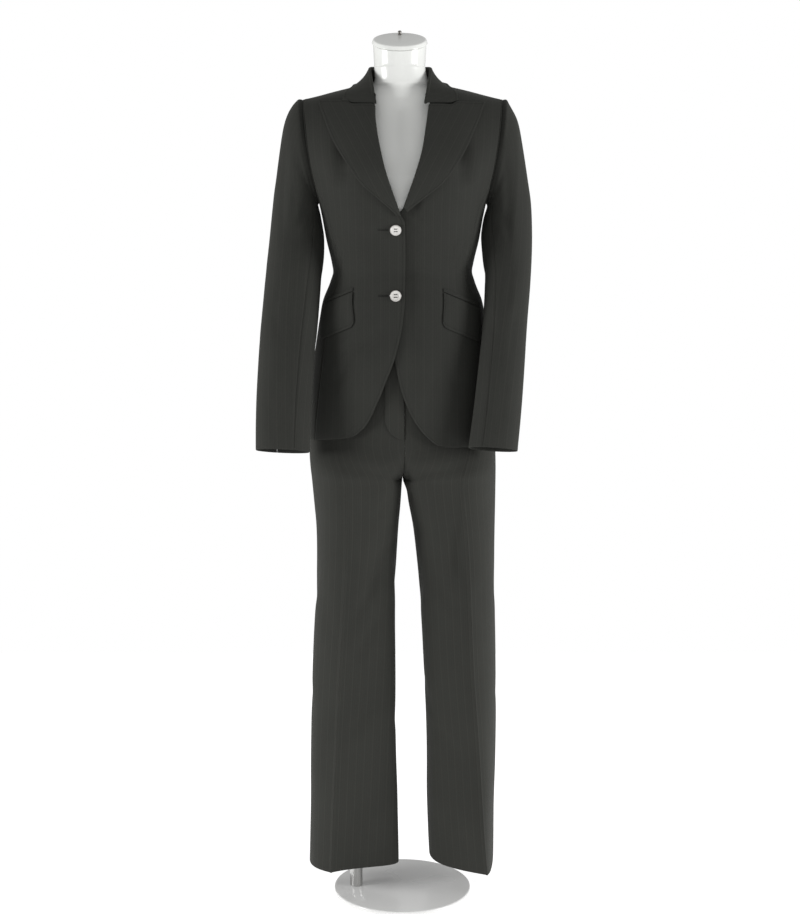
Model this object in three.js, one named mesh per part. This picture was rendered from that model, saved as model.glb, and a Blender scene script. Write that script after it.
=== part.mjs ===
// A woman's trouser suit on a limbless dress form, in millimetres, +Z up.
// The wearer faces -Y, so the wearer's left is +X. The origin is on the floor under the base plate.
// Every cloth piece is a wall: a grid of points on its right side, and the same grid moved inwards.
import * as THREE from "three";

// ---------------------------------------------------------------- driving dimensions
const CLOTH = 2.0; // thickness of a garment wall
const HALF = 0.5; // each of two pieces gives up half of their seam gap
const SEAM = 0.3; // gap between two pieces at a seam
const LAP = 0.5; // clear gap between cloth layers that lie on each other
const HEM_JACKET = { right: 886, left: 871, centreBack: 866 };
const HEM_SIDE = { right: 877, left: 868 }; // height of the hem at the side seams
const HEM_TROUSER = { right: 57, left: 60 };
const CROTCH = 800;
const WAIST_TOP = 1085; // top edge of the trouser waistband
const WAISTBAND = 36; // its height

const group = new THREE.Group();
const rad = THREE.MathUtils.degToRad;
const vec = (x, y, z) => new THREE.Vector3(x, y, z);
const mix = (a, b, t) => a + (b - a) * t;
const ease = (t) => THREE.MathUtils.smoothstep(t, 0, 1);

// ---------------------------------------------------------------- materials
const wool = new THREE.MeshStandardMaterial({ color: 0x24262a, roughness: 0.85 });
const pearl = new THREE.MeshStandardMaterial({ color: 0xe4e2dc, roughness: 0.25 });
const horn = new THREE.MeshStandardMaterial({ color: 0x1c1b1c, roughness: 0.4 });
const gloss = new THREE.MeshStandardMaterial({ color: 0xf4f4f2, roughness: 0.2 });
const steel = new THREE.MeshStandardMaterial({ color: 0x9a9a98, roughness: 0.35, metalness: 1 });

// ---------------------------------------------------------------- curves and tables
// A table has one row for each level; its first column is the key. The result gives
// every other column at any key, on a smooth curve through the rows.
function smoothTable(columns, rows) {
  const keys = rows.map((r) => r[0]);
  const slope = (i, c) => {
    const a = Math.max(i - 1, 0);
    const b = Math.min(i + 1, rows.length - 1);
    return (rows[b][c] - rows[a][c]) / (keys[b] - keys[a]);
  };
  return (key) => {
    const k = THREE.MathUtils.clamp(key, keys[0], keys[keys.length - 1]);
    const i = Math.min(keys.findLastIndex((v) => v <= k), rows.length - 2);
    const span = keys[i + 1] - keys[i];
    const out = {};
    columns.slice(1).forEach((name, n) => {
      const c = n + 1;
      const from = rows[i][c];
      const to = rows[i + 1][c];
      out[name] = hermite(from, to, slope(i, c) * span, slope(i + 1, c) * span, (k - keys[i]) / span);
    });
    return out;
  };
}

function hermite(p, q, m, n, t) {
  const t2 = t * t;
  const t3 = t2 * t;
  return (2 * t3 - 3 * t2 + 1) * p + (t3 - 2 * t2 + t) * m + (3 * t2 - 2 * t3) * q + (t3 - t2) * n;
}

const hermiteVec = (p, q, m, n, t) =>
  vec(...["x", "y", "z"].map((axis) => hermite(p[axis], q[axis], m[axis], n[axis], t)));

// A point on a cubic Bezier arc with four control points.
function bezier([p0, p1, p2, p3], t) {
  const u = 1 - t;
  return p0.clone().multiplyScalar(u * u * u)
    .addScaledVector(p1, 3 * u * u * t)
    .addScaledVector(p2, 3 * u * t * t)
    .addScaledVector(p3, t * t * t);
}

// The part of a Bezier arc from its start to t, as an arc of its own.
function firstPart([p0, p1, p2, p3], t) {
  const a = p0.clone().lerp(p1, t);
  const b = p1.clone().lerp(p2, t);
  const c = p2.clone().lerp(p3, t);
  const d = a.clone().lerp(b, t);
  return [p0, a, d, d.clone().lerp(b.clone().lerp(c, t), t)];
}

// The parameter at which a function that only rises reaches a value.
function solve(f, value, low, high) {
  for (let i = 0; i < 40; i++) {
    const middle = (low + high) / 2;
    if (f(middle) < value) low = middle;
    else high = middle;
  }
  return (low + high) / 2;
}

const steps = (from, to, count) => Array.from({ length: count + 1 }, (_, i) => mix(from, to, i / count));

// ---------------------------------------------------------------- cloth walls
// Each piece of cloth is kept as a grid of points on its right side until all are made.
// Points that several pieces share at a seam then get one shared normal, so that the
// walls meet there edge to edge.
const cloth = [];

// flip turns the grid over left to right; shared says that its edges meet other pieces at seams.
function addCloth(name, rows, { trim = {}, thickness = CLOTH, flip = false, shared = true } = {}) {
  const grid = flip ? rows.map((r) => [...r].reverse()) : rows;
  const sides = flip ? { ...trim, left: trim.right, right: trim.left } : trim;
  cloth.push({ name, grid, trim: sides, thickness, shared, normals: gridNormals(grid) });
}

// Normals of a grid whose rows go up and whose columns go so that across x up faces out.
function gridNormals(grid) {
  return grid.map((row, j) => row.map((point, i) => {
    const right = row[Math.min(i + 1, row.length - 1)];
    const across = right.clone().sub(row[Math.max(i - 1, 0)]);
    const above = grid[Math.min(j + 1, grid.length - 1)][i];
    const below = grid[Math.max(j - 1, 0)][i];
    return across.cross(vec(0, 0, 0).subVectors(above, below)).normalize();
  }));
}

function shareNormals() {
  const sums = new Map();
  const key = (p) => [p.x, p.y, p.z].map((v) => Math.round(v * 20)).join();
  const shared = cloth.filter((piece) => piece.shared);
  shared.forEach(({ grid, normals }) => grid.forEach((row, j) => row.forEach((p, i) => {
    const sum = sums.get(key(p)) ?? vec(0, 0, 0);
    sums.set(key(p), sum.add(normals[j][i]));
  })));
  shared.forEach((piece) => {
    piece.normals = piece.grid.map((row) => row.map((p) => sums.get(key(p)).clone().normalize()));
  });
}

// Moves the edge points that lie on a seam back along the cloth, by a share of the seam gap.
function trimmed(grid, trim) {
  const out = grid.map((row) => row.map((p) => p.clone()));
  const pull = (j, i, dj, di, share) => {
    const way = vec(0, 0, 0).subVectors(grid[j + dj][i + di], grid[j][i]);
    if (way.length() > SEAM) out[j][i].addScaledVector(way.normalize(), SEAM * share);
  };
  const top = grid.length - 1;
  const last = grid[0].length - 1;
  grid[0].forEach((_, i) => {
    if (trim.bottom) pull(0, i, 1, 0, trim.bottom);
    if (trim.top) pull(top, i, -1, 0, trim.top);
  });
  grid.forEach((_, j) => {
    if (trim.left) pull(j, 0, 0, 1, trim.left);
    if (trim.right) pull(j, last, 0, -1, trim.right);
  });
  return out;
}

// A closed wall from a grid on its right side and its normals.
function wallGeometry({ grid, normals, trim, thickness }) {
  const outer = trimmed(grid, trim);
  const rows = outer.length;
  const columns = outer[0].length;
  const position = [];
  outer.forEach((row) => row.forEach((p) => position.push(p.x, p.y, p.z)));
  outer.forEach((row, j) => row.forEach((p, i) => {
    const q = p.clone().addScaledVector(normals[j][i], -thickness);
    position.push(q.x, q.y, q.z);
  }));
  const under = rows * columns;
  const at = (j, i) => j * columns + i;
  const index = [];
  const quad = (a, b, c, d) => index.push(a, b, c, a, c, d);
  for (let j = 0; j < rows - 1; j++)
    for (let i = 0; i < columns - 1; i++) {
      quad(at(j, i), at(j, i + 1), at(j + 1, i + 1), at(j + 1, i));
      quad(under + at(j, i), under + at(j + 1, i), under + at(j + 1, i + 1), under + at(j, i + 1));
    }
  for (let i = 0; i < columns - 1; i++) {
    quad(at(0, i), under + at(0, i), under + at(0, i + 1), at(0, i + 1));
    quad(at(rows - 1, i), at(rows - 1, i + 1), under + at(rows - 1, i + 1), under + at(rows - 1, i));
  }
  for (let j = 0; j < rows - 1; j++) {
    quad(at(j, 0), at(j + 1, 0), under + at(j + 1, 0), under + at(j, 0));
    const low = at(j, columns - 1);
    const high = at(j + 1, columns - 1);
    quad(low, under + low, under + high, high);
  }
  return new THREE.BufferGeometry()
    .setAttribute("position", new THREE.Float32BufferAttribute(position, 3))
    .setIndex(index);
}

function addMesh(name, geometry, material) {
  geometry.computeVertexNormals();
  const mesh = new THREE.Mesh(geometry, material);
  mesh.name = name;
  group.add(mesh);
  return mesh;
}

// ---------------------------------------------------------------- jacket body, below the armholes
// One side of the body at a height: two quarter arcs, from centre front to the side and on
// to centre back. Depths are from the middle plane; fullFront and fullSide set how square they are.
const BODY = smoothTable(
  ["z", "half", "front", "back", "fullFront", "fullSide"],
  [
    [840, 179, 120, 131, 0.58, 0.52],
    [905, 175.5, 121, 133, 0.58, 0.52],
    [960, 169.5, 119, 131, 0.58, 0.52],
    [1015, 162, 115, 126, 0.57, 0.52],
    [1055, 156, 111, 121, 0.57, 0.52],
    [1090, 151, 107, 114, 0.57, 0.52],
    [1127, 144, 103, 105, 0.57, 0.52],
    [1160, 131, 99, 96, 0.57, 0.53],
    [1185, 127, 97, 91, 0.58, 0.54],
    [1235, 137.5, 112, 96, 0.6, 0.55],
    [1270, 143.5, 124, 101, 0.62, 0.55],
    [1302, 149.5, 129, 105, 0.62, 0.55],
  ],
);
const BUST = { x: 0.5, out: 6, z: 1285, reach: 90 }; // crown of the bust, beyond the centre front

function frontQuarter(z) {
  const b = BODY(z);
  const crown = BUST.out * Math.exp(-(((z - BUST.z) / BUST.reach) ** 2));
  return [
    vec(0, -b.front, z),
    vec(b.half * b.fullFront, -b.front - crown, z),
    vec(b.half, -b.front * b.fullSide, z),
    vec(b.half, 0, z),
  ];
}

function backQuarter(z) {
  const b = BODY(z);
  return [
    vec(b.half, 0, z),
    vec(b.half, b.back * b.fullSide, z),
    vec(b.half * b.fullFront, b.back, z),
    vec(0, b.back, z),
  ];
}

// A point round one side of the body: around is 0 at centre front, 1 at the side, 2 at centre back.
// A point past centre front mirrors to the other side.
function bodyPoint(z, around) {
  if (around < 0) {
    const p = bezier(frontQuarter(z), -around);
    return vec(-p.x, p.y, p.z);
  }
  return around <= 1 ? bezier(frontQuarter(z), around) : bezier(backQuarter(z), around - 1);
}

const FRONT_SEAM = 0.7; // where the side panel meets the front, round the front quarter
const BACK_SEAM = 1.42; // where it meets the back

// ---------------------------------------------------------------- armhole ring
// A tilted oval. Its angle is 0 at the shoulder tip, grows over the front, and 180 at the armpit.
const ARMHOLE = {
  top: 177, bottom: 149, // x at the shoulder tip and at the armpit
  middle: 1392.5, rise: 90.5, // height of its middle, and half its height
  front: 62, back: 66, scoop: 0.12, // half depths, and how much fuller it is low down
  bow: 4, y: 2, // the front and back edges' lean outwards, and the shoulder tip's y
};
const ARMPIT_FRONT = 125; // degrees, where the front's side seam meets the ring
const ARMPIT_BACK = 238; // where the back's side seam meets it
const LOWER = 1270; // height from which the body's seams run into the ring
const JOIN = 1340; // level of the front seam at the ring
const LEVEL_PER_DEGREE = 1.5;
const ARMHOLE_ROW = 1302; // height of the one row between LOWER and the ring

function ring(degrees) {
  const c = Math.cos(rad(degrees));
  const s = Math.sin(rad(degrees));
  const depth = s > 0 ? ARMHOLE.front : ARMHOLE.back;
  return vec(
    mix(ARMHOLE.bottom, ARMHOLE.top, (1 + c) / 2) + ARMHOLE.bow * s * s,
    ARMHOLE.y * (1 + c) / 2 - depth * s * (1 - ARMHOLE.scoop * c),
    ARMHOLE.middle + ARMHOLE.rise * c,
  );
}

// From the body at LOWER up to the ring, for one place round the side panel.
function upToRing(around, degrees, t) {
  const start = bodyPoint(LOWER, around);
  const end = ring(degrees);
  const rise = end.z - LOWER;
  const slope = bodyPoint(LOWER, around).sub(bodyPoint(LOWER - 1, around)).multiplyScalar(rise);
  return hermiteVec(start, end, slope, vec((end.x - start.x) * 0.8, (end.y - start.y) * 0.8, rise), t);
}

// ---------------------------------------------------------------- jacket fronts and backs
// A row runs from the middle of the body to the armhole, as one arc. Below LOWER it is part of
// the body's quarter. Above it, the tables give where the arc starts and how its handles lie.
// Each row has its degrees on the ring, then y and z of its start at the middle and of its handles.
const FRONT_ROWS = [
  { degrees: 125, start: [-124, 1350], one: [-131, 1349], two: [-118, 1345] },
  { degrees: 90, start: [-109, 1400], one: [-113, 1399], two: [-100, 1397] },
  { degrees: 60, start: [-84, 1455], one: [-86, 1453], two: [-74, 1447] },
  { degrees: 30, start: [-44, 1500], one: [-46, 1496], two: [-41, 1486] },
  { degrees: 0, start: [6, 1528.5], one: [5, 1513], two: [4, 1498] },
];
// The same from the centre back or the neck edge, where end is x, y and z, and two is the handle
// next to the armhole.
const BACK_ROWS = [
  { degrees: 238, end: [0, 109, 1350], one: [109, 1350], two: [104, 1347] },
  { degrees: 270, end: [0, 110, 1405], one: [110, 1404], two: [104, 1399] },
  { degrees: 300, end: [0, 101, 1455], one: [101, 1453], two: [92, 1448] },
  { degrees: 330, end: [0, 75.5, 1500], one: [78, 1499], two: [66, 1488] },
  { degrees: 345, end: [44, 52, 1504], one: [50, 1501], two: [38, 1491] },
  { degrees: 360, end: [68, 5, 1511], one: [4.5, 1502], two: [3, 1492] },
];
const NECK_POINT = vec(68, 5, 1511); // where the shoulder seam meets the collar
const SHOULDER_LEVEL = JOIN + ARMPIT_FRONT * LEVEL_PER_DEGREE;

const frontLevel = (degrees) => JOIN + (ARMPIT_FRONT - degrees) * LEVEL_PER_DEGREE;
const backLevel = (degrees) => JOIN + (degrees - ARMPIT_BACK) * LEVEL_PER_DEGREE;

const controlColumns = ["level"].concat(
  ...["a", "b", "c", "d"].map((p) => [p + "x", p + "y", p + "z"]),
);
const controlRow = (level, points) => [level].concat(...points.map((p) => p.toArray()));
const bodyLevels = [840, 905, 960, 1015, 1055, 1090, 1127, 1160, 1185, 1235, LOWER];

const frontControls = smoothTable(controlColumns, [
  ...bodyLevels.map((z) => controlRow(z, firstPart(frontQuarter(z), FRONT_SEAM))),
  ...FRONT_ROWS.map((r) => {
    const end = ring(r.degrees);
    return controlRow(frontLevel(r.degrees), [
      vec(0, ...r.start), vec(end.x * 0.34, ...r.one), vec(end.x * 0.7, ...r.two), end,
    ]);
  }),
]);
const backControls = smoothTable(controlColumns, [
  ...bodyLevels.map((z) => controlRow(z, firstPart([...backQuarter(z)].reverse(), 2 - BACK_SEAM))),
  ...BACK_ROWS.map((r) => {
    const end = ring(r.degrees);
    const x = r.end[0];
    return controlRow(backLevel(r.degrees), [
      vec(...r.end), vec(mix(x, end.x, 0.34), ...r.one), vec(mix(x, end.x, 0.7), ...r.two), end,
    ]);
  }),
]);

const arcOf = (c) => ["a", "b", "c", "d"].map((p) => vec(c[p + "x"], c[p + "y"], c[p + "z"]));

// The armhole or seam end of a row.
function frontEnd(level) {
  if (level >= JOIN) return ring(ARMPIT_FRONT - (level - JOIN) / LEVEL_PER_DEGREE);
  if (level > LOWER) return upToRing(FRONT_SEAM, ARMPIT_FRONT, (level - LOWER) / (JOIN - LOWER));
  return bodyPoint(level, FRONT_SEAM);
}

function backEnd(level) {
  if (level >= JOIN) return ring(ARMPIT_BACK + (level - JOIN) / LEVEL_PER_DEGREE);
  if (level > LOWER) return upToRing(BACK_SEAM, ARMPIT_BACK, (level - LOWER) / (JOIN - LOWER));
  return bodyPoint(level, BACK_SEAM);
}

// across is 0 at the middle and 1 at the armhole; below 0 it goes over the centre front.
function frontPoint(level, across) {
  const arc = [...arcOf(frontControls(level)).slice(0, 3), frontEnd(level)];
  const p = bezier(arc, Math.abs(across));
  return across < 0 ? vec(-p.x, p.y, p.z) : p;
}

function backPoint(level, across) {
  const [start, one, two] = arcOf(backControls(level));
  start.x = Math.max(start.x, 0);
  return bezier([start, one, two, backEnd(level)], across);
}

// The shoulder seam, from the neck to the sleeve.
const shoulderSeam = (t) => NECK_POINT.clone().lerp(ring(0), t);

// ---------------------------------------------------------------- jacket front edges
// Distance of the front edge from the middle, on the wearer's own side, for each height.
const EDGE = {
  right: smoothTable(["z", "x"], [
    [886, 103], [890.5, 89], [905, 71], [922.5, 58], [949.5, 46], [967, 38], [993, 28], [1020, 17],
    [1050, 8.5], [1084, 1], [1133, -4], [1267, -4], [1283, 3], [1344, 25], [1389, 37], [1440, 46],
    [1480, 48], [1490, 52], [1500, 59], [1511, 68],
  ]),
  left: smoothTable(["z", "x"], [
    [871, 83], [876.5, 62], [887, 48], [901.5, 34], [922.5, 19], [949.5, 6], [975.5, -3], [1011, -11],
    [1045, -18], [1098, -28], [1262, -28], [1283, -8], [1293, 0], [1344, 19], [1391, 33], [1440, 41],
    [1480, 46], [1490, 51], [1500, 59], [1511, 68],
  ]),
};
// The left front sinks under the right one from one x to another, below the top height.
const UNDER = { from: 34, to: 14, depth: CLOTH + 2 * LAP, top: 1330, fade: 40 };

// A point of a front, for a side and x measured on that side.
function frontAcross(level, x) {
  const reach = solve((s) => frontPoint(level, s).x, Math.abs(x), 0, 1);
  return x < 0 ? -reach : reach;
}

function edgeAcross(side, level) {
  let z = Math.min(level, 1511);
  let across = 0;
  for (let i = 0; i < 8; i++) {
    across = frontAcross(level, EDGE[side](z).x);
    z = frontPoint(level, across).z;
  }
  return across;
}

// A point of one side's front; the left one sinks below the break of the lapels.
function frontOf(side, level, across) {
  const p = frontPoint(level, across);
  if (side === "right") return p;
  const near = ease((UNDER.from - p.x) / (UNDER.from - UNDER.to));
  const below = ease((UNDER.top - p.z) / UNDER.fade);
  return p.add(vec(0, UNDER.depth * near * below, 0));
}

const SIDES = [
  { name: "right", sign: -1 },
  { name: "left", sign: 1 },
];
const onSide = (sign, p) => vec(sign * p.x, p.y, p.z);
const mirrorRows = (sign, rows) => rows.map((row) => row.map((p) => onSide(sign, p)));

const ACROSS = 8; // spans across a front or a back
const RING_FRONT = [125, 107, 90, 75, 60, 45, 30, 15, 0];
const RING_UNDER = [125, 142, 158, 172, 188, 204, 221, 238];
const RING_BACK = [238, 255, 270, 285, 300, 315, 330, 345, 360];
const UPPER_ROWS = [1060, 1095, 1127, 1160, 1190, 1225, 1256, LOWER, ARMHOLE_ROW];
const BODY_ROWS = {
  right: [HEM_JACKET.right, 892, 907, 940, 980, 1021, ...UPPER_ROWS],
  left: [HEM_JACKET.left, 877, 892, 921, 966, 1015, ...UPPER_ROWS],
};
const HEM_FADE = 980; // below this height the rows slope with the hem

// How far a row lies below its level where the hem is at a height, on one side of the body.
function hemDrop(side, level, height) {
  const hem = HEM_JACKET[side];
  return (height - hem) * Math.max((HEM_FADE - level) / (HEM_FADE - hem), 0);
}

for (const { name, sign } of SIDES) {
  const levels = [...BODY_ROWS[name], ...RING_FRONT.map(frontLevel)];
  const front = levels.map((level) => {
    if (level >= SHOULDER_LEVEL) return steps(0, 1, ACROSS).map(shoulderSeam);
    const start = edgeAcross(name, level);
    const drop = hemDrop(name, level, HEM_SIDE[name]);
    return steps(start, 1, ACROSS).map((s) => frontOf(name, level + drop * (s - start) / (1 - start), s));
  });
  addCloth("jacket_front_" + name, mirrorRows(sign, front), {
    trim: { top: HALF, right: HALF }, flip: sign < 0,
  });

  // The side panel goes up into the bottom of the armhole.
  const low = BODY_ROWS[name].filter((z) => z < LOWER);
  const rise = [0, (ARMHOLE_ROW - LOWER) / (JOIN - LOWER), 1];
  const around = steps(FRONT_SEAM, BACK_SEAM, RING_UNDER.length - 1);
  const side = [
    ...low.map((z) => around.map((a) => bodyPoint(z + hemDrop(name, z, HEM_SIDE[name]), a))),
    ...rise.map((t) => around.map((a, i) => upToRing(a, RING_UNDER[i], t))),
  ];
  addCloth("jacket_side_" + name, mirrorRows(sign, side), {
    trim: { top: HALF, left: HALF, right: HALF }, flip: sign < 0,
  });

  // The back's bottom row runs from the hem at the side to the centre back's.
  const back = [...BODY_ROWS[name], ...RING_BACK.slice(0, -1).map(backLevel)].map((level) => {
    const atSide = hemDrop(name, level, HEM_SIDE[name]);
    const atCentre = hemDrop(name, level, HEM_JACKET.centreBack);
    return steps(1, 0, ACROSS).map((s) => backPoint(level + mix(atCentre, atSide, s), s));
  });
  back.push(steps(1, 0, ACROSS).map(shoulderSeam));
  addCloth("jacket_back_" + name, mirrorRows(sign, back), {
    trim: { top: HALF, left: HALF, right: HALF }, flip: sign < 0,
  });
}

// ---------------------------------------------------------------- sleeves
// A ring of a sleeve: its outer and inner points in the front view, the middle's y, half its
// depth, and how many degrees it leans forward. bow and scoop round the head out like the armhole,
// which is the ring of step 0.
const SLEEVE_COLUMNS = [
  "step", "outerX", "outerZ", "innerX", "innerZ", "y", "depth", "lean", "bow", "scoop",
];
const SLEEVE = {
  right: smoothTable(SLEEVE_COLUMNS, [
    [1, 184.5, 1482, 152.8, 1297, 3, 66, 0, 5, 0.12],
    [2, 196, 1472.5, 151.6, 1292, 3, 66.5, 0, 4, 0.09],
    [3, 208, 1450, 149.9, 1286, 3, 65, 0, 2, 0.06],
    [4, 217, 1415, 148, 1279, 2, 63, 0, 1, 0.03],
    [5, 224, 1372, 146, 1269, 1, 60.5, 1, 0, 0],
    [6, 230, 1328, 143.8, 1257, -1, 58, 3, 0, 0],
    [7, 235, 1282, 141, 1238, -5, 55.5, 6, 0, 0],
    [8, 240, 1228, 141, 1205, -14, 52, 9, 0, 0],
    [9, 246, 1170, 145.5, 1162, -29, 49, 12, 0, 0],
    [10, 251.5, 1102, 150.5, 1102, -50, 46, 15, 0, 0],
    [11, 256, 1037, 156, 1037, -72, 42, 15, 0, 0],
    [12, 259.5, 972, 160.5, 972, -91, 38, 14, 0, 0],
    [13, 260.5, 914, 163.5, 914, -105, 35.5, 14, 0, 0],
    [14, 260.5, 868, 165, 864, -114, 34, 14, 0, 0],
  ]),
  left: smoothTable(SLEEVE_COLUMNS, [
    [1, 184.5, 1482, 152.8, 1297, 3, 66, 0, 5, 0.12],
    [2, 193.5, 1470.5, 152.7, 1292, 3, 66.5, 0, 4, 0.09],
    [3, 205.5, 1447, 151, 1286, 3, 65, 0, 3.5, 0.06],
    [4, 214, 1411, 149, 1281, 2, 63, 0, 2.5, 0.03],
    [5, 221.5, 1370, 146.3, 1271, 1, 60.5, 1, 1.5, 0],
    [6, 227.5, 1328, 143.8, 1257, -1, 58, 3, 0, 0],
    [7, 232, 1282, 142, 1238, -5, 55.5, 6, 0, 0],
    [8, 233, 1228, 144, 1205, -14, 52, 9, 0, 0],
    [9, 230, 1170, 147.5, 1162, -29, 49, 12, 0, 0],
    [10, 224, 1102, 144.5, 1102, -53, 46, 15, 0, 0],
    [11, 218.5, 1037, 137.5, 1037, -78, 42, 15, 0, 0],
    [12, 213.5, 972, 130, 972, -98, 38, 14, 0, 0],
    [13, 208.5, 914, 122.5, 914, -111, 35.5, 14, 0, 0],
    [14, 204, 867, 116.5, 873, -120, 34, 14, 0, 0],
  ]),
};
const HEAD_GAP = 2.2; // the sleeve head stands off its armhole by this share of the seam gap
const SLEEVE_STEPS = [0, 1, 2, 3, 4, 5, 6, 7, 8, 9, 10, 11, 12, 13, 14];
const FRONT_SEAM_RING = 142; // degrees at the armhole
const BACK_SEAM_RING = 255;
const CUFF_SEAMS = { right: { front: 117, back: 285 }, left: { front: 117, back: 322 } };

// A sleeve's seams wander round it on the way down, and the other lines follow them.
function sleeveAngle(side, step, degrees) {
  const t = ease(step / 14);
  const front = mix(FRONT_SEAM_RING, CUFF_SEAMS[side].front, t);
  const back = mix(BACK_SEAM_RING, CUFF_SEAMS[side].back, t);
  if (degrees >= FRONT_SEAM_RING && degrees <= BACK_SEAM_RING)
    return mix(front, back, (degrees - FRONT_SEAM_RING) / (BACK_SEAM_RING - FRONT_SEAM_RING));
  const wrapped = degrees < FRONT_SEAM_RING ? degrees : degrees - 360;
  const start = BACK_SEAM_RING - 360;
  return mix(back - 360, front, (wrapped - start) / (FRONT_SEAM_RING - start));
}

function sleeveRing(side, step, degrees) {
  if (step === 0) return ring(degrees);
  const r = SLEEVE[side](step);
  const angle = rad(sleeveAngle(side, step, degrees));
  const c = Math.cos(angle);
  const s = Math.sin(angle);
  const along = (1 + c) / 2;
  const y = r.y - r.depth * s * (1 - r.scoop * c);
  return vec(
    mix(r.innerX, r.outerX, along) + r.bow * s * s,
    y,
    mix(r.innerZ, r.outerZ, along) - (y - r.y) * Math.tan(rad(r.lean)),
  );
}

for (const { name, sign } of SIDES) {
  const top = [...RING_BACK.slice(1), ...RING_FRONT.slice(0, -1).reverse(), FRONT_SEAM_RING];
  const under = RING_UNDER.slice(1).concat(BACK_SEAM_RING);
  const ringAt = (step, angles) => angles.map((degrees) => sleeveRing(name, step, degrees));
  const rows = (angles) => SLEEVE_STEPS.map((step) => ringAt(step, angles)).reverse();
  for (const [piece, angles] of [["top", top], ["under", under]])
    addCloth(`sleeve_${piece}_${name}`, mirrorRows(sign, rows(angles)), {
      trim: { top: HEAD_GAP, left: HALF, right: HALF }, flip: sign > 0,
    });
}

// ---------------------------------------------------------------- trousers
// A leg section: outseam and inseam x and y, front and back crease x and y, and the crease's
// sharpness in degrees. x is on the wearer's own side.
const LEG_COLUMNS = ["z", "outX", "outY", "inX", "inY", "frontX", "frontY", "backX", "backY", "crease"];
const LEG = {
  right: smoothTable(LEG_COLUMNS, [
    [60, 177, 8, 7, 0, 134, -58, 76, 62, 30],
    [140, 174.5, 6, 8, 0, 130, -59, 76, 62, 30],
    [300, 172, 4, 12, 0, 123, -62, 78, 64, 28],
    [450, 168, 2, 13, 0, 115, -67, 80, 68, 25],
    [600, 160, 2, 13, 2, 106, -80, 84, 80, 18],
    [700, 159, 3, 8.5, 5, 101, -92, 88, 94, 10],
    [770, 164, 4, 2, 10, 100, -100, 90, 109, 3],
    [850, 170, 4, 0, 0, 100, -104, 90, 118, 0],
    [905, 167, 2, 0, 0, 100, -101, 90, 114, 0],
  ]),
  left: smoothTable(LEG_COLUMNS, [
    [60, 176, 84, 52, 36, 158, -77, 114, 110, 24],
    [140, 176, 66, 48, 30, 151, -74, 111, 104, 24],
    [300, 178, 42, 46, 22, 141, -72, 108, 90, 24],
    [450, 176, 28, 40, 14, 130, -74, 104, 84, 22],
    [600, 172, 16, 31, 8, 123, -84, 100, 88, 18],
    [700, 171, 9, 21, 8, 117, -94, 96, 98, 12],
    [770, 171, 6, 8, 12, 110, -102, 94, 111, 6],
    [850, 171, 4, 0, 0, 104, -104, 92, 118, 0],
    [905, 167, 2, 0, 0, 102, -101, 92, 114, 0],
  ]),
};
const HIP_INSET = { side: 8, front: 13, back: 10 }; // how far the trousers lie inside the jacket
const HIP_TO = 880; // from the fork up to here the leg's section turns into the hip's
const MIDDLE_X = 4; // the trousers' middle plane on the body

// The rise: height at the side, then y and height of the centre seam, and its turn in degrees.
const RISE = {
  front: [
    [800, 15, 800, 0], [822, -32, 808, 12], [850, -68, 834, 40], [880, -92, 868, 85], [905, 0, 900, 90],
    [960, 0, 959, 90], [1015, 0, 1015, 90], [1049, 0, 1049, 90],
  ],
  back: [
    [800, 15, 800, 0], [822, 58, 812, 40], [850, 96, 838, 70], [880, 115, 872, 85], [905, 0, 902, 90],
    [960, 0, 960, 90], [1015, 0, 1015, 90], [1049, 0, 1049, 90],
  ],
};
const FREE_RISE = 4; // so many rows from the fork have a centre seam of their own
const LEG_ROWS = [100, 170, 250, 340, 430, 500, 560, 610, 660, 710, 750, 780];
const LEG_ARC = 4; // spans from the outseam to the crease; one more lies inside it

// The soft folds of each leg's front: from one point to another in the front view, with the
// width and depth of the trough.
const FOLDS = [
  { side: "right", top: [24, 690], foot: [62, 592], width: 15, depth: 5 },
  { side: "right", top: [40, 640], foot: [88, 545], width: 13, depth: 3.5 },
  { side: "right", top: [30, 560], foot: [84, 470], width: 14, depth: 3 },
  { side: "right", top: [60, 380], foot: [96, 320], width: 15, depth: 2.5 },
  { side: "left", top: [103, 735], foot: [101, 640], width: 12, depth: 5 },
  { side: "left", top: [60, 640], foot: [92, 560], width: 14, depth: 3 },
  { side: "left", top: [70, 330], foot: [110, 270], width: 15, depth: 2.5 },
];

function foldDepth(side, x, z) {
  return FOLDS.filter((f) => f.side === side).reduce((sum, f) => {
    const dx = f.foot[0] - f.top[0];
    const dz = f.foot[1] - f.top[1];
    const length = Math.hypot(dx, dz);
    const t = ((x - f.top[0]) * dx + (z - f.top[1]) * dz) / length ** 2;
    const off = ((x - f.top[0]) * dz - (z - f.top[1]) * dx) / length;
    const ends = ease((t + 0.25) / 0.5) * ease((1.25 - t) / 0.5);
    return sum + f.depth * ends * Math.exp(-((off / f.width) ** 2));
  }, 0);
}

const ROUND = 0.55; // length of an arc's handles against its width or depth, near a circle's
const INNER_ROUND = smoothTable(["z", "full"], [ // the same inside the crease, squarer at the fork
  [60, 0.55], [480, 0.55], [600, 0.6], [700, 0.72], [770, 0.85], [800, 0.9], [822, 0.9], [850, 0.84],
  [880, 0.68], [905, 0.55],
]);

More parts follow.
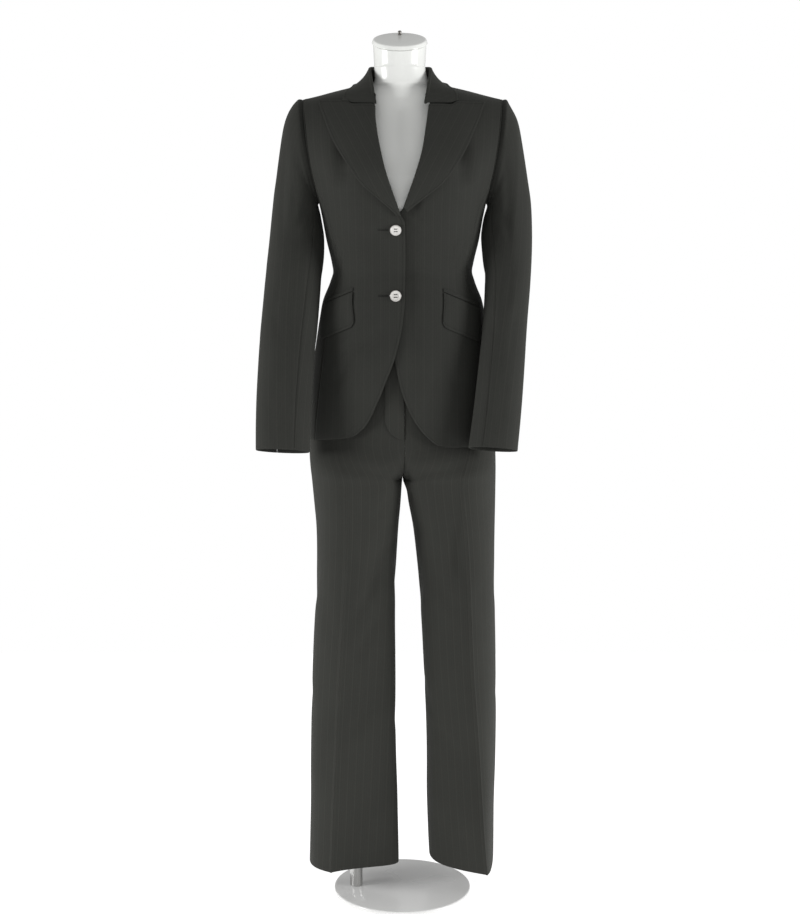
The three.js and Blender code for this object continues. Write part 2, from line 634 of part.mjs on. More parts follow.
// One quarter of a leg, from the outseam over the crease to the inseam or the centre seam.
function legRow(side, face, z, centre) {
  const sign = side === "right" ? -1 : 1;
  const r = LEG[side](z);
  const ahead = face === "front" ? -1 : 1;
  const out = vec(sign * r.outX, r.outY, z);
  const crease = vec(sign * r[face + "X"], r[face + "Y"], z);
  const inner = centre ? vec(centre.x, centre.y, centre.z) : vec(sign * r.inX, r.inY, z);
  const turn = rad(centre ? centre.turn : 0);
  const slant = Math.sin(rad(r.crease)) * ahead;
  const level = Math.cos(rad(r.crease));
  const outWide = Math.abs(out.x - crease.x);
  const inWide = Math.abs(inner.x - crease.x);
  const outDeep = Math.abs(out.y - crease.y);
  const inDeep = Math.abs(inner.y - crease.y);
  const outSide = sign * outWide * ROUND;
  const full = INNER_ROUND(z).full;
  const inSide = sign * inWide * full;
  const outArc = [
    out,
    vec(out.x, out.y + ahead * outDeep * ROUND, z),
    vec(crease.x + outSide * level, crease.y - outWide * ROUND * slant, z),
    crease,
  ];
  const inArc = [
    crease,
    vec(crease.x - inSide * level, crease.y - inWide * full * slant, mix(z, inner.z, 0.3)),
    vec(inner.x + inSide * Math.sin(turn), inner.y + ahead * inDeep * full * Math.cos(turn), inner.z),
    inner,
  ];
  return [
    ...steps(0, 1, LEG_ARC).slice(0, -1).map((t) => bezier(outArc, t)),
    ...steps(0, 1, LEG_ARC + 1).map((t) => bezier(inArc, t)),
  ];
}

// The arc from the side to the centre seam at the hips, on the wearer's own side.
function hipArc(face, z, centreZ) {
  const b = BODY(z);
  const half = b.half - HIP_INSET.side;
  const depth = (b[face] - HIP_INSET[face]) * (face === "front" ? -1 : 1);
  return [
    vec(half, 0, z),
    vec(half, depth * b.fullSide, z),
    vec(half * b.fullFront, depth, centreZ),
    vec(0, depth, centreZ),
  ];
}

// The same quarter at the hips, where the trousers lie inside the jacket.
function hipRow(side, face, z, centreZ) {
  const sign = side === "right" ? -1 : 1;
  const arc = hipArc(face, z, centreZ);
  const half = arc[0].x;
  const spread = [...steps(0, 0.5, LEG_ARC).slice(0, -1), ...steps(0.5, 1, LEG_ARC + 1)];
  return spread.map((t) => {
    const p = bezier(arc, t);
    return vec(sign * p.x + MIDDLE_X * (1 - p.x / half), p.y, p.z);
  });
}

// Brings a row out to a depth where it is fullest, and leaves its two seams where they are.
const FILL = 24; // a row comes out wholly this far from the centre seam
function filledOut(row, depth) {
  const deepest = Math.max(...row.map((p) => Math.abs(p.y)));
  const seam = row.at(-1).clone();
  return row.map((p, n) => {
    const free = n === 0 ? 0 : ease(p.distanceTo(seam) / FILL);
    return p.setY(p.y * mix(1, Math.max(depth / deepest, 1), free));
  });
}

// Rows of a front or back, from hem to waistband.
function trouserRows(side, face) {
  const legs = [HEM_TROUSER[side], ...LEG_ROWS].map((z) => legRow(side, face, z));
  const hips = RISE[face].map(([z, y, centreZ, turn], i) => {
    const centre = { x: MIDDLE_X * ease((centreZ - CROTCH) / 60), y, z: centreZ, turn };
    const hip = hipRow(side, face, z, centreZ);
    if (i >= FREE_RISE) return hip;
    const share = ease((z - CROTCH) / (HIP_TO - CROTCH));
    const row = legRow(side, face, z, centre).map((p, n) => p.lerp(hip[n], share));
    const atCrease = Math.abs(LEG[side](z)[face + "Y"]);
    return filledOut(row, mix(atCrease, BODY(z)[face] - HIP_INSET[face], share));
  });
  const rows = [...legs, ...hips];
  if (face === "front")
    rows.forEach((row) => row.slice(1, -1).forEach((p) => {
      p.y += foldDepth(side, Math.abs(p.x), p.z);
    }));
  return rows;
}

for (const { name, sign } of SIDES)
  for (const face of ["front", "back"])
    addCloth(`trouser_${face}_${name}`, trouserRows(name, face), {
      trim: { left: HALF, right: HALF, top: HALF },
      flip: (sign > 0) === (face === "front"),
    });

// The waistband: one band round the top, closed at the fly.
const bandRow = (z) => [
  ...hipRow("left", "front", z, z).reverse(),
  ...hipRow("left", "back", z, z).slice(1),
  ...hipRow("right", "back", z, z).reverse().slice(1),
  ...hipRow("right", "front", z, z).slice(1),
];
addCloth("waistband", [WAIST_TOP - WAISTBAND, WAIST_TOP].map(bandRow), {
  trim: { left: HALF, right: HALF, bottom: HALF },
});

// The fly: a facing sewn on the right front, straight at the centre and curved at its foot.
const FLY = { width: 33, foot: 886, bend: 42, least: 2, lift: 1.7, thick: 1.2 };
const FLY_EDGE = MIDDLE_X - 1; // where the right front's edge shows
const flyRows = steps(FLY.foot, WAIST_TOP - WAISTBAND - 1, 8).map((z) => {
  const arc = hipArc("front", z, z);
  const share = Math.min((z - FLY.foot) / FLY.bend, 1);
  const wide = FLY.width * Math.sqrt(1 - (1 - share) ** 2) + FLY.least;
  return steps(FLY_EDGE - wide, FLY_EDGE, 4).map((x) => {
    const t = solve((s) => -bezier(arc, s).x, x - MIDDLE_X, 0, 1);
    return vec(x, bezier(arc, t).y - FLY.lift, z);
  });
});
addCloth("fly", flyRows, { thickness: FLY.thick, shared: false });

// ---------------------------------------------------------------- what lies on the body
// The body's surface at x and z of the front view, on the wearer's own side: the point, and the
// direction straight out of the cloth. A level up the body is found for the height.
const LEVELS = { low: 845, high: SHOULDER_LEVEL };

function surfaceAt(x, z, pointAt) {
  const at = (px, pz) => {
    const across = (level) => solve((s) => pointAt(level, s).x, px, 0, 1);
    const level = solve((l) => pointAt(l, across(l)).z, pz, LEVELS.low, LEVELS.high);
    return pointAt(level, across(level));
  };
  const step = 2;
  const p = at(x, z);
  const right = at(x + step, z).sub(at(x - step, z));
  const up = at(x, z + step).sub(at(x, z - step));
  const out = right.cross(up).normalize();
  return { point: p, out: pointAt === backPoint ? out.negate() : out };
}

// A point at a height over the front, where x may lie past the middle.
function overFront(x, z, lift) {
  const { point, out } = surfaceAt(Math.abs(x), z, frontPoint);
  const p = point.addScaledVector(out, lift);
  return x < 0 ? vec(-p.x, p.y, p.z) : p;
}

// ---------------------------------------------------------------- lapels
// Rows from the break of the roll line up to the gorge: the roll line's height, then x and z of the
// outer edge, on the wearer's own side. The last row is the top edge, from the roll to the peak.
const LAPEL = {
  right: [
    [1280, 10, 1280], [1291, 22, 1292], [1310, 45, 1312], [1335, 71, 1335], [1366, 99, 1374],
    [1400, 119, 1406], [1440, 134, 1440], [1477, 149, 1478],
  ],
  left: [
    [1294, 9, 1287], [1302, 23, 1299], [1316, 42, 1314], [1338, 70, 1337], [1366, 94, 1368],
    [1400, 112, 1399], [1440, 129, 1436], [1477, 145, 1474],
  ],
};
const LAPEL_ROLL = [ // share of the way from roll to edge, height of its right side over the front
  [0, 4], [0.07, 5.2], [0.2, 5.6], [0.4, 5.2], [0.6, 4.8], [0.8, 4.7], [1, 4.6],
];
// The top edge lies lower next to the roll, up to one share of its length, and is level from another.
const GORGE = { low: 6.5, from: 0.36, to: 0.5 };
const rollX = (name, z) => EDGE[name](z).x + 0.5;
const gorgeZ = (name, share) => {
  const [rollZ, , edgeZ] = LAPEL[name].at(-1);
  return mix(rollZ, edgeZ, share) - GORGE.low * ease((GORGE.to - share) / (GORGE.to - GORGE.from));
};

for (const { name, sign } of SIDES) {
  const last = LAPEL[name].length - 1;
  const rows = LAPEL[name].map(([rollZ, edgeX, edgeZ], j) => {
    return LAPEL_ROLL.map(([share, lift]) => {
      const z = j === last ? gorgeZ(name, share) : mix(rollZ, edgeZ, share);
      return overFront(mix(rollX(name, rollZ), edgeX, share), z, lift);
    });
  });
  addCloth("lapel_" + name, mirrorRows(sign, rows), { flip: sign < 0, shared: false });
}

// ---------------------------------------------------------------- collar
// Stations from the front end, next to the lapel, to the centre back. d is the distance from the
// collar's middle plane. The stand rises from the neck seam to the fold; the fall hangs to its edge.
const COLLAR_X = -4;
const COLLAR = smoothTable(
  ["q", "baseD", "baseY", "baseZ", "foldD", "foldY", "foldZ", "edgeD", "edgeY", "edgeZ"],
  [
    [0, 41.7, -66.5, 1474.5, 41.5, -71, 1477, 102, -56, 1480.5],
    [0.2, 49, -46, 1494, 47, -44, 1507, 100, -40, 1492],
    [0.4, 57, -18, 1508, 50.5, -16, 1528, 88, -13, 1504],
    [0.55, 59, 6, 1512, 51, 8, 1537, 81, 12, 1507],
    [0.75, 48, 42, 1508, 42.5, 39, 1540, 69, 54, 1503],
    [0.9, 23, 57, 1502.5, 22, 56, 1542, 34, 80, 1492],
    [1, 0, 62, 1500.5, 0, 60, 1542, 0, 87, 1488],
  ],
);
const FOLD_ROUND = 3; // radius of the collar's fold
const COLLAR_LIFT = 4.2; // least height of the fall's right side over the body
const COLLAR_SAG = 3; // how far the fall is hollow between its fold and its edge
const COLLAR_END = { gap: 1.2, fade: 0.16 }; // its front end follows the lapel's top edge
const COLLAR_TOP = 1505; // height of the body's surface at the neck

// Lifts a point of the fall clear of the front or the back under it.
function clearOfBody(p) {
  const x = Math.abs(p.x);
  const pointAt = p.y < NECK_POINT.y ? frontPoint : backPoint;
  const under = surfaceAt(x, Math.min(p.z, COLLAR_TOP), pointAt);
  under.point.x *= Math.sign(p.x || 1);
  under.out.x *= Math.sign(p.x || 1);
  const height = p.clone().sub(under.point).dot(under.out);
  return height < COLLAR_LIFT ? p.addScaledVector(under.out, COLLAR_LIFT - height) : p;
}

// Brings a point of the fall, near the collar's front end, down to the lapel's top edge.
function downToGorge(p, nearness) {
  if (nearness <= 0) return p;
  const name = p.x < 0 ? "right" : "left";
  const [rollZ, edgeX] = LAPEL[name].at(-1);
  const from = rollX(name, rollZ);
  const x = Math.abs(p.x);
  const gorge = overFront(x, gorgeZ(name, Math.max((x - from) / (edgeX - from), 0)), COLLAR_LIFT);
  p.z = mix(p.z, gorge.z + COLLAR_END.gap, nearness);
  return p;
}

function collarRow(q, sign) {
  const c = COLLAR(q);
  const place = (d, y, z) => vec(COLLAR_X + sign * d, y, z);
  const base = place(c.baseD, c.baseY, c.baseZ);
  const fold = place(c.foldD, c.foldY, c.foldZ);
  const edge = place(c.edgeD, c.edgeY, c.edgeZ);
  const outward = edge.clone().sub(fold).setZ(0).normalize();
  const over = fold.clone().addScaledVector(outward, 2 * FOLD_ROUND);
  const crown = fold.clone().addScaledVector(outward, FOLD_ROUND).add(vec(0, 0, FOLD_ROUND));
  const nearEnd = ease(1 - q / COLLAR_END.fade);
  const fall = [0.25, 0.5, 0.75, 1].map((t) => {
    const p = over.clone().lerp(edge, t);
    p.addScaledVector(outward, -COLLAR_SAG * Math.sin(Math.PI * t));
    return clearOfBody(downToGorge(p, nearEnd));
  });
  crown.y -= FOLD_ROUND * nearEnd;
  const roll = [crown, over].map((p) => clearOfBody(downToGorge(p, nearEnd)));
  return [base, base.clone().lerp(fold, 0.5), fold, ...roll, ...fall];
}

const collarStations = [0, 0.1, 0.2, 0.3, 0.4, 0.5, 0.6, 0.7, 0.8, 0.9];
const collar = [
  ...collarStations.map((q) => collarRow(q, -1)),
  collarRow(1, 1),
  ...[...collarStations].reverse().map((q) => collarRow(q, 1)),
];
addCloth("collar", collar, { shared: false, flip: true });

// ---------------------------------------------------------------- pocket flaps and jettings
// Corners of each flap in the front view, on the wearer's own side: x and z.
const FLAP = {
  right: { topIn: [87.5, 1146], topOut: [142, 1120], lowIn: [83.5, 1087], lowOut: [148, 1057] },
  left: { topIn: [72, 1145], topOut: [139, 1114], lowIn: [69, 1086], lowOut: [139, 1054] },
};
const FLAP_LIFT = 2.7; // height of a flap's right side over the body
const FLAP_TALL = 56; // a flap's depth
const FLAP_ROUND = 0.12; // part of the flap's length taken by each rounded lower corner
const FLAP_ALONG = [0, 0.03, 0.07, 0.12, 0.3, 0.5, 0.7, 0.88, 0.93, 0.97, 1];
const JET = { high: 6, gap: 1.5, lift: 2.1, thick: 1.3 };

const overBody = (around, z, lift) => {
  const p = bodyPoint(z, around);
  const across = bodyPoint(z, around + 0.01).sub(bodyPoint(z, around - 0.01));
  const up = bodyPoint(z + 1, around).sub(bodyPoint(z - 1, around));
  return p.addScaledVector(across.cross(up).normalize(), lift);
};
const aroundAt = (x, z) => solve((a) => bodyPoint(z, a).x, x, 0, 1);

// A place on a flap's top or bottom edge, which is straight in the front view.
function edgeOf(from, to, q) {
  const around = mix(from.around, to.around, q);
  const ends = [from, to].map((c) => bodyPoint(c.z, c.around).x);
  const x = bodyPoint(mix(from.z, to.z, q), around).x;
  return { around, z: mix(from.z, to.z, (x - ends[0]) / (ends[1] - ends[0])) };
}

// How much of its depth a flap has at a share of its length: less at the rounded corners.
function flapDepth(q) {
  const corner = Math.min(q, 1 - q) / FLAP_ROUND;
  return corner >= 1 ? 1 : 1 - 0.22 * (1 - Math.sqrt(1 - (1 - corner) ** 2));
}

for (const { name, sign } of SIDES) {
  const f = FLAP[name];
  const corner = ([x, z]) => ({ around: aroundAt(x, z), z });
  const [topIn, topOut, lowIn, lowOut] = [f.topIn, f.topOut, f.lowIn, f.lowOut].map(corner);
  const at = (q, depth, lift) => {
    const top = edgeOf(topIn, topOut, q);
    const low = edgeOf(lowIn, lowOut, q);
    return overBody(mix(top.around, low.around, depth), mix(top.z, low.z, depth), lift);
  };
  const flapRow = (depth) => FLAP_ALONG.map((q) => at(q, depth * flapDepth(q), FLAP_LIFT));
  const jetRow = (height) => steps(0, 1, 4).map((q) => at(q, -height / FLAP_TALL, JET.lift));
  const options = { flip: sign < 0, shared: false };
  addCloth("flap_" + name, mirrorRows(sign, steps(1, 0, 3).map(flapRow)), options);
  const jet = [JET.gap, JET.gap + JET.high].map(jetRow);
  addCloth("jet_" + name, mirrorRows(sign, jet), { ...options, thickness: JET.thick });
}

// ---------------------------------------------------------------- buttons
const BUTTON = { radius: 10, thick: 3.2, bevel: 0.5, hole: 0.9, spread: 2.4 };
const BUTTON_X = 12; // on the wearer's right of the middle
const BUTTON_Z = [1256, 1140];
const CUFF_BUTTON = { radius: 5, thick: 2.4, bevel: 0.4, pitch: 10.8, first: 24, count: 3 };
const STAND_OFF = 0.35; // between a button and the cloth

// A round outline of straight sides, for a disc or an eye in it.
const roundPoints = (x, y, radius, sides) => Array.from({ length: sides }, (_, i) => {
  const a = (2 * Math.PI * i) / sides;
  return new THREE.Vector2(x + radius * Math.cos(a), y + radius * Math.sin(a));
});

function discGeometry({ radius, thick, bevel, hole = 0, spread = 0 }, sides) {
  const disc = new THREE.Shape(roundPoints(0, 0, radius - bevel, sides));
  if (hole)
    for (const [x, y] of [[1, 1], [-1, 1], [-1, -1], [1, -1]])
      disc.holes.push(new THREE.Path(roundPoints(x * spread, y * spread, hole + bevel, 6)));
  return new THREE.ExtrudeGeometry(disc, {
    depth: thick - 2 * bevel, bevelSize: bevel, bevelThickness: bevel, bevelSegments: 1, steps: 1,
  }).translate(0, 0, bevel);
}

function addButton(name, kind, sides, point, out, material) {
  const button = addMesh(name, discGeometry(kind, sides), material);
  button.quaternion.setFromUnitVectors(vec(0, 0, 1), out);
  button.position.copy(point).addScaledVector(out, STAND_OFF);
}

BUTTON_Z.forEach((z, i) => {
  const { point, out } = surfaceAt(BUTTON_X, z, frontPoint);
  addButton(`front_button_${i + 1}`, BUTTON, 20, onSide(-1, point), onSide(-1, out), pearl);
});

for (const { name, sign } of SIDES)
  for (let i = 0; i < CUFF_BUTTON.count; i++) {
    const last = SLEEVE_STEPS.at(-1);
    const cuff = sleeveRing(name, last, BACK_SEAM_RING);
    const above = sleeveRing(name, last - 1, BACK_SEAM_RING);
    const share = (CUFF_BUTTON.first + i * CUFF_BUTTON.pitch) / cuff.distanceTo(above);
    const step = last - share;
    const degrees = BACK_SEAM_RING + 8;
    const point = sleeveRing(name, step, degrees);
    const across = sleeveRing(name, step, degrees + 3).sub(sleeveRing(name, step, degrees - 3));
    const along = sleeveRing(name, step - 0.1, degrees).sub(sleeveRing(name, step + 0.1, degrees));
    const out = along.cross(across).normalize();
    const button = `cuff_button_${name}_${i + 1}`;
    addButton(button, CUFF_BUTTON, 12, onSide(sign, point), onSide(sign, out), horn);
  }

// ---------------------------------------------------------------- dress form
// Below the arms the form is the jacket body's own shape, inset; above, rings of its own.
const INSET = smoothTable(["z", "side", "front", "back"], [
  [848, 72, 62, 63], [856, 49, 44, 42], [870, 31, 32, 32], [892, 22, 26, 25], [925, 17, 22, 20],
  [980, 14, 20, 17], [1035, 12, 17, 14], [1049, 11.4, 16.4, 13.6], [1085, 11.4, 16.4, 13.6],
  [1130, 8, 10, 8], [1185, 7, 9, 7], [1270, 8, 10, 7], [1302, 9, 11, 8],
]);
const SHOULDERS = smoothTable(
  ["z", "half", "front", "back", "fullFront", "fullSide"],
  [
    [1345, 146, 113, 99, 0.6, 0.55], [1390, 151, 96, 101, 0.58, 0.52], [1430, 154, 75, 94, 0.55, 0.42],
    [1460, 155, 59, 84, 0.45, 0.3], [1477, 155, 51, 75, 0.38, 0.15], [1485, 150, 47, 69, 0.34, 0.12],
    [1490.5, 130, 45, 64, 0.3, 0.1], [1496.5, 107, 42, 60, 0.3, 0.1], [1502, 84, 40, 56, 0.3, 0.1],
    [1507.5, 62, 40, 54, 0.4, 0.25], [1511, 53, 41, 55, 0.52, 0.5], [1516, 49, 40, 53, 0.5523, 0.5523],
    [1524, 46.5, 40, 51, 0.5523, 0.5523], [1541, 45.5, 40, 51, 0.5523, 0.5523],
  ],
);
// The neck: its middle, its foot and top, and the lean and thickness of the cap on it.
const NECK = { x: -5, y: 5.5, foot: 1541, footRadius: 45.5, top: 1581, radius: 47.5, lean: 19, cap: 8 };
const SHOULDER_TOP = 1500; // above this height the rings move over to the neck's middle
const RIM = { top: 47.5, foot: 49.5 }; // radii of the cap
const FORM_LOW = [848, 856, 870, 892, 925, 980, 1049, 1085, 1130, 1185, 1230, 1270, 1302];
const FORM_HIGH = [
  1345, 1390, 1430, 1460, 1477, 1485, 1490.5, 1496.5, 1502, 1507.5, 1511, 1516, 1524, 1541,
];
const FORM_SIDES = 28;

// The form's section at a height: the body's, inset, up to its last row, and its own above.
function formSection(z) {
  if (z > ARMHOLE_ROW) return SHOULDERS(z);
  const b = BODY(z);
  const inset = INSET(z);
  return { ...b, half: b.half - inset.side, front: b.front - inset.front, back: b.back - inset.back };
}

function formRing(z) {
  const section = formSection(z);
  const toNeck = ease((z - SHOULDER_TOP) / (NECK.foot - SHOULDER_TOP));
  return Array.from({ length: FORM_SIDES }, (_, i) => {
    const turn = (4 * i) / FORM_SIDES; // quarters from the front, over the wearer's left
    const sign = turn <= 2 ? 1 : -1;
    const around = turn <= 2 ? turn : 4 - turn;
    const depth = around <= 1 ? -section.front : section.back;
    const quarter = [
      vec(section.half, 0, z),
      vec(section.half, depth * section.fullSide, z),
      vec(section.half * section.fullFront, depth, z),
      vec(0, depth, z),
    ];
    const p = bezier(quarter, around <= 1 ? 1 - around : around - 1);
    return vec(sign * p.x + NECK.x * toNeck, p.y, z);
  });
}

// A ring of the leaning neck: its share of the way up from the collar to the cap.
function neckRing(share) {
  const middle = vec(NECK.x, NECK.y, mix(NECK.foot, NECK.top, share));
  const radius = mix(NECK.footRadius, NECK.radius, share);
  const slope = Math.tan(rad(NECK.lean * share));
  return Array.from({ length: FORM_SIDES }, (_, i) => {
    const a = (2 * Math.PI * i) / FORM_SIDES;
    const y = -radius * Math.cos(a);
    return vec(middle.x + radius * Math.sin(a), middle.y + y, middle.z + y * slope);
  });
}

function ringsGeometry(rings) {
  const n = rings[0].length;
  const position = rings.flat().flatMap((p) => p.toArray());
  const index = [];
  const middleOf = (r) => r.reduce((sum, p) => sum.add(p), vec(0, 0, 0)).divideScalar(n);
  const foot = rings.length * n;
  position.push(...middleOf(rings[0]).toArray(), ...middleOf(rings.at(-1)).toArray());
  for (let j = 0; j < rings.length - 1; j++)
    for (let i = 0; i < n; i++) {
      const a = j * n + i;
      const b = j * n + ((i + 1) % n);
      index.push(a, b, b + n, a, b + n, a + n);
    }
  for (let i = 0; i < n; i++) {
    const next = (i + 1) % n;
    index.push(foot, next, i);
    index.push(foot + 1, foot - n + i, foot - n + next);
  }
  return new THREE.BufferGeometry()
    .setAttribute("position", new THREE.Float32BufferAttribute(position, 3))
    .setIndex(index);
}

const formRings = [
  ...[...FORM_LOW, ...FORM_HIGH].map(formRing),
  ...[0.5, 1].map(neckRing),
];
addMesh("form_torso", ringsGeometry(formRings), gloss);

// A cylinder that stands upright from a height, for the cap, the stud and the pole.
function uprightGeometry(topRadius, footRadius, high, from, sides) {
  return new THREE.CylinderGeometry(topRadius, footRadius, high, sides)
    .rotateX(Math.PI / 2)
    .translate(0, 0, from + high / 2);
}

const STUD = { radius: 3.2, high: 7, y: 30 }; // a metal fitting that stands on the cap
const capTilt = new THREE.Group();
capTilt.position.set(NECK.x, NECK.y, NECK.top);
capTilt.rotation.x = rad(NECK.lean);
group.add(capTilt);
const capGeometry = uprightGeometry(RIM.top, RIM.foot, NECK.cap, SEAM, FORM_SIDES);
capTilt.add(addMesh("neck_cap", capGeometry, gloss));
const studGeometry = uprightGeometry(STUD.radius, STUD.radius, STUD.high, NECK.cap + 2 * SEAM, 12);
capTilt.add(addMesh("neck_stud", studGeometry.translate(0, STUD.y, 0), steel));

// ---------------------------------------------------------------- stand
const PLATE = { radius: 130, thick: 10, bevel: 1.5 };
const POLE = { radius: 12, x: -88, y: 0 };
addMesh("base_plate", discGeometry(PLATE, 40), gloss);
const poleFoot = PLATE.thick + SEAM;
const poleTop = FORM_LOW[0] - SEAM;
const poleGeometry = uprightGeometry(POLE.radius, POLE.radius, poleTop - poleFoot, poleFoot, 16);
addMesh("stand_pole", poleGeometry.translate(POLE.x, POLE.y, 0), steel);

// ---------------------------------------------------------------- export
shareNormals();
cloth.forEach((piece) => addMesh(piece.name, wallGeometry(piece), wool));

export default group;
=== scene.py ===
# A woman's charcoal trouser suit on a limbless dress form. Sizes are millimetres until a mesh is made.
# The wearer faces -Y and the wearer's left is +X. Each piece stands for one node of the CAD frame, and
# the sewing stands for none.
import math
import bpy
import numpy as np
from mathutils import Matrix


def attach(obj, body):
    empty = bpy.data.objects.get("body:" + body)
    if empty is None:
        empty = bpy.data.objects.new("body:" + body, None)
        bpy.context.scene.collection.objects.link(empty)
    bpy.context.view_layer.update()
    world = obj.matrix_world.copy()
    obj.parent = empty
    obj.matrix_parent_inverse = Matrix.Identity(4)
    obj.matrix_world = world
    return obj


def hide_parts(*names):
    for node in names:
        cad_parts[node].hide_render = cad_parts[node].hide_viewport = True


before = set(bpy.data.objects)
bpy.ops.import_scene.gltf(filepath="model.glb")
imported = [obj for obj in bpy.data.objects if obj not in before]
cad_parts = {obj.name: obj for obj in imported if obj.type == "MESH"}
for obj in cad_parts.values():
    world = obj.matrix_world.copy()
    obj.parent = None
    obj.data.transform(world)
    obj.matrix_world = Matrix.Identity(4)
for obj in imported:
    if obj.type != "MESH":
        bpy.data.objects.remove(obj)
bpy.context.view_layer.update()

# ---------------------------------------------------------------- base plate and pole
# The stand is a spun steel plate, lacquered white, with a chromed tube screwed into it.
# The tube goes up through the right trouser leg into the underside of the form.
PLATE = {"radius": 130, "thick": 10, "round": 3}
POLE = {"radius": 12, "x": -88, "foot": 10.3, "top": 847.7}
GAP = 0.3  # between two rigid pieces that touch
SHARP_EDGE = 50  # degrees from which an edge is shaded as a corner


def closed_rings(rings):
    """Points and faces of rings that follow each other upwards, closed at both ends."""
    count, sides = rings.shape[:2]
    here = np.arange(sides)
    after = (here + 1) % sides
    faces = []
    for j in range(count - 1):
        low, high = j * sides, (j + 1) * sides
        faces += np.stack([low + here, low + after, high + after, high + here], 1).tolist()
    faces.append(here[::-1].tolist())
    faces.append((here + (count - 1) * sides).tolist())
    return rings.reshape(-1, 3), faces


def turned(profile, sides):
    """Rings of a profile of (radius, height) turned about the upright axis."""
    radius, height = np.array(profile, float).T
    angle = np.arange(sides) * 2 * math.pi / sides
    x = radius[:, None] * np.cos(angle)
    y = radius[:, None] * np.sin(angle)
    return np.stack([x, y, np.repeat(height[:, None], sides, 1)], -1)


def disc_profile(radius, foot, top, rounding, steps=5):
    """Outline of a disc with both rims rounded."""
    turn = np.linspace(0, math.pi / 2, steps)
    low = [(radius - rounding + rounding * math.sin(a), foot + rounding - rounding * math.cos(a)) for a in turn]
    high = [(radius - rounding + rounding * math.cos(a), top - rounding + rounding * math.sin(a)) for a in turn]
    return low + high


def add_piece(name, points, faces, material, nodes, slot, uv=None):
    """A finished piece from points in millimetres, which stands for the CAD nodes."""
    mesh = bpy.data.meshes.new(name)
    mesh.from_pydata((np.asarray(points) / 1000).tolist(), [], faces)
    if uv is not None:
        corners = np.empty(len(mesh.loops), int)
        mesh.loops.foreach_get("vertex_index", corners)
        layer = mesh.uv_layers.new(name="cloth")
        layer.data.foreach_set("uv", (uv[corners] / 1000).astype(np.float32).ravel())
    mesh.shade_smooth()
    mesh.set_sharp_from_angle(angle=math.radians(SHARP_EDGE))
    mesh.materials.append(material)
    piece = bpy.data.objects.new(name, mesh)
    bpy.context.collection.objects.link(piece)
    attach(piece, "root")
    if nodes:
        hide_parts(*nodes)
    return piece


def wire(tree, node, **inputs):
    """Gives each named input of a node a value, or the socket that feeds it."""
    for name, value in inputs.items():
        socket = node.inputs[name.replace("_", " ")]
        if isinstance(value, bpy.types.NodeSocket):
            tree.links.new(value, socket)
        else:
            socket.default_value = value
    return node


def added(tree, kind, **inputs):
    return wire(tree, tree.nodes.new(kind), **inputs)


def shades(tree, share, stops):
    """The colour at a share of the way through stops of (position, colour)."""
    ramp = added(tree, "ShaderNodeValToRGB", Fac=share)
    elements = ramp.color_ramp.elements
    while len(elements) < len(stops):
        elements.new(0.5)
    for element, (position, colour) in zip(elements, stops):
        element.position = position
        element.color = [*colour, 1]
    return ramp.outputs["Color"]


def new_material(name, **sockets):
    """A material with its Principled shader; each socket is set on the shader itself."""
    material = bpy.data.materials.new(name)
    material.use_nodes = True
    shader = material.node_tree.nodes["Principled BSDF"]
    return material, material.node_tree, wire(material.node_tree, shader, **sockets)


def lacquer(name, colour, roughness, grain):
    """Sprayed gloss lacquer: a faint orange peel, and a colour that isn't quite even."""
    material, tree, shader = new_material(name, Coat_Weight=0.35, Coat_Roughness=0.12)
    place = added(tree, "ShaderNodeTexCoord").outputs["Object"]
    peel = added(tree, "ShaderNodeTexNoise", Vector=place, Scale=grain, Detail=3).outputs["Fac"]
    cloud = added(tree, "ShaderNodeTexNoise", Vector=place, Scale=6).outputs["Fac"]
    bump = added(tree, "ShaderNodeBump", Strength=0.06, Distance=0.0006, Height=peel)
    rough = added(tree, "ShaderNodeMapRange", Value=cloud, To_Min=roughness * 0.8, To_Max=roughness * 1.25)
    tint = shades(tree, cloud, [(0, [c * 0.95 for c in colour]), (1, colour)])
    wire(tree, shader, Base_Color=tint, Normal=bump.outputs["Normal"], Roughness=rough.outputs["Result"])
    return material


def brushed_metal(name, colour, roughness, stretch):
    """Polished steel with fine lines drawn out along one axis."""
    material, tree, shader = new_material(name, Metallic=1.0)
    place = added(tree, "ShaderNodeTexCoord").outputs["Object"]
    mapping = added(tree, "ShaderNodeMapping", Vector=place, Scale=stretch)
    lines = added(tree, "ShaderNodeTexNoise", Vector=mapping.outputs["Vector"], Scale=1, Detail=4).outputs["Fac"]
    rough = added(tree, "ShaderNodeMapRange", Value=lines, To_Min=roughness * 0.7, To_Max=roughness * 1.5)
    tint = shades(tree, lines, [(0, [c * 0.85 for c in colour]), (1, colour)])
    wire(tree, shader, Base_Color=tint, Roughness=rough.outputs["Result"])
    return material


stand_gloss = lacquer("stand_white_lacquer", (0.78, 0.78, 0.77), 0.28, 900)
plate_profile = disc_profile(PLATE["radius"], 0, PLATE["thick"], PLATE["round"])
add_piece("stand_plate", *closed_rings(turned(plate_profile, 128)), stand_gloss, ["base_plate"], "stand_gloss")

chrome = brushed_metal("stand_chrome", (0.62, 0.62, 0.61), 0.22, (400, 400, 6))
pole_profile = disc_profile(POLE["radius"], POLE["foot"], POLE["top"], 0.8, 3)
pole_rings = turned(pole_profile, 48) + np.array([POLE["x"], 0, 0])
add_piece("stand_tube", *closed_rings(pole_rings), chrome, ["stand_pole"], "stand_steel")

# ---------------------------------------------------------------- dress form
# A limbless display form, moulded in one shell and finished in white gloss. Its body is the
# jacket's own section drawn in a little, and its neck leans forward to a turned cap.


def hermite(p, q, m, n, t):
    """A smooth step from p to q, which starts with slope m and ends with slope n."""
    return (2 * t**3 - 3 * t**2 + 1) * p + (t**3 - 2 * t**2 + t) * m + (3 * t**2 - 2 * t**3) * q + (t**3 - t**2) * n


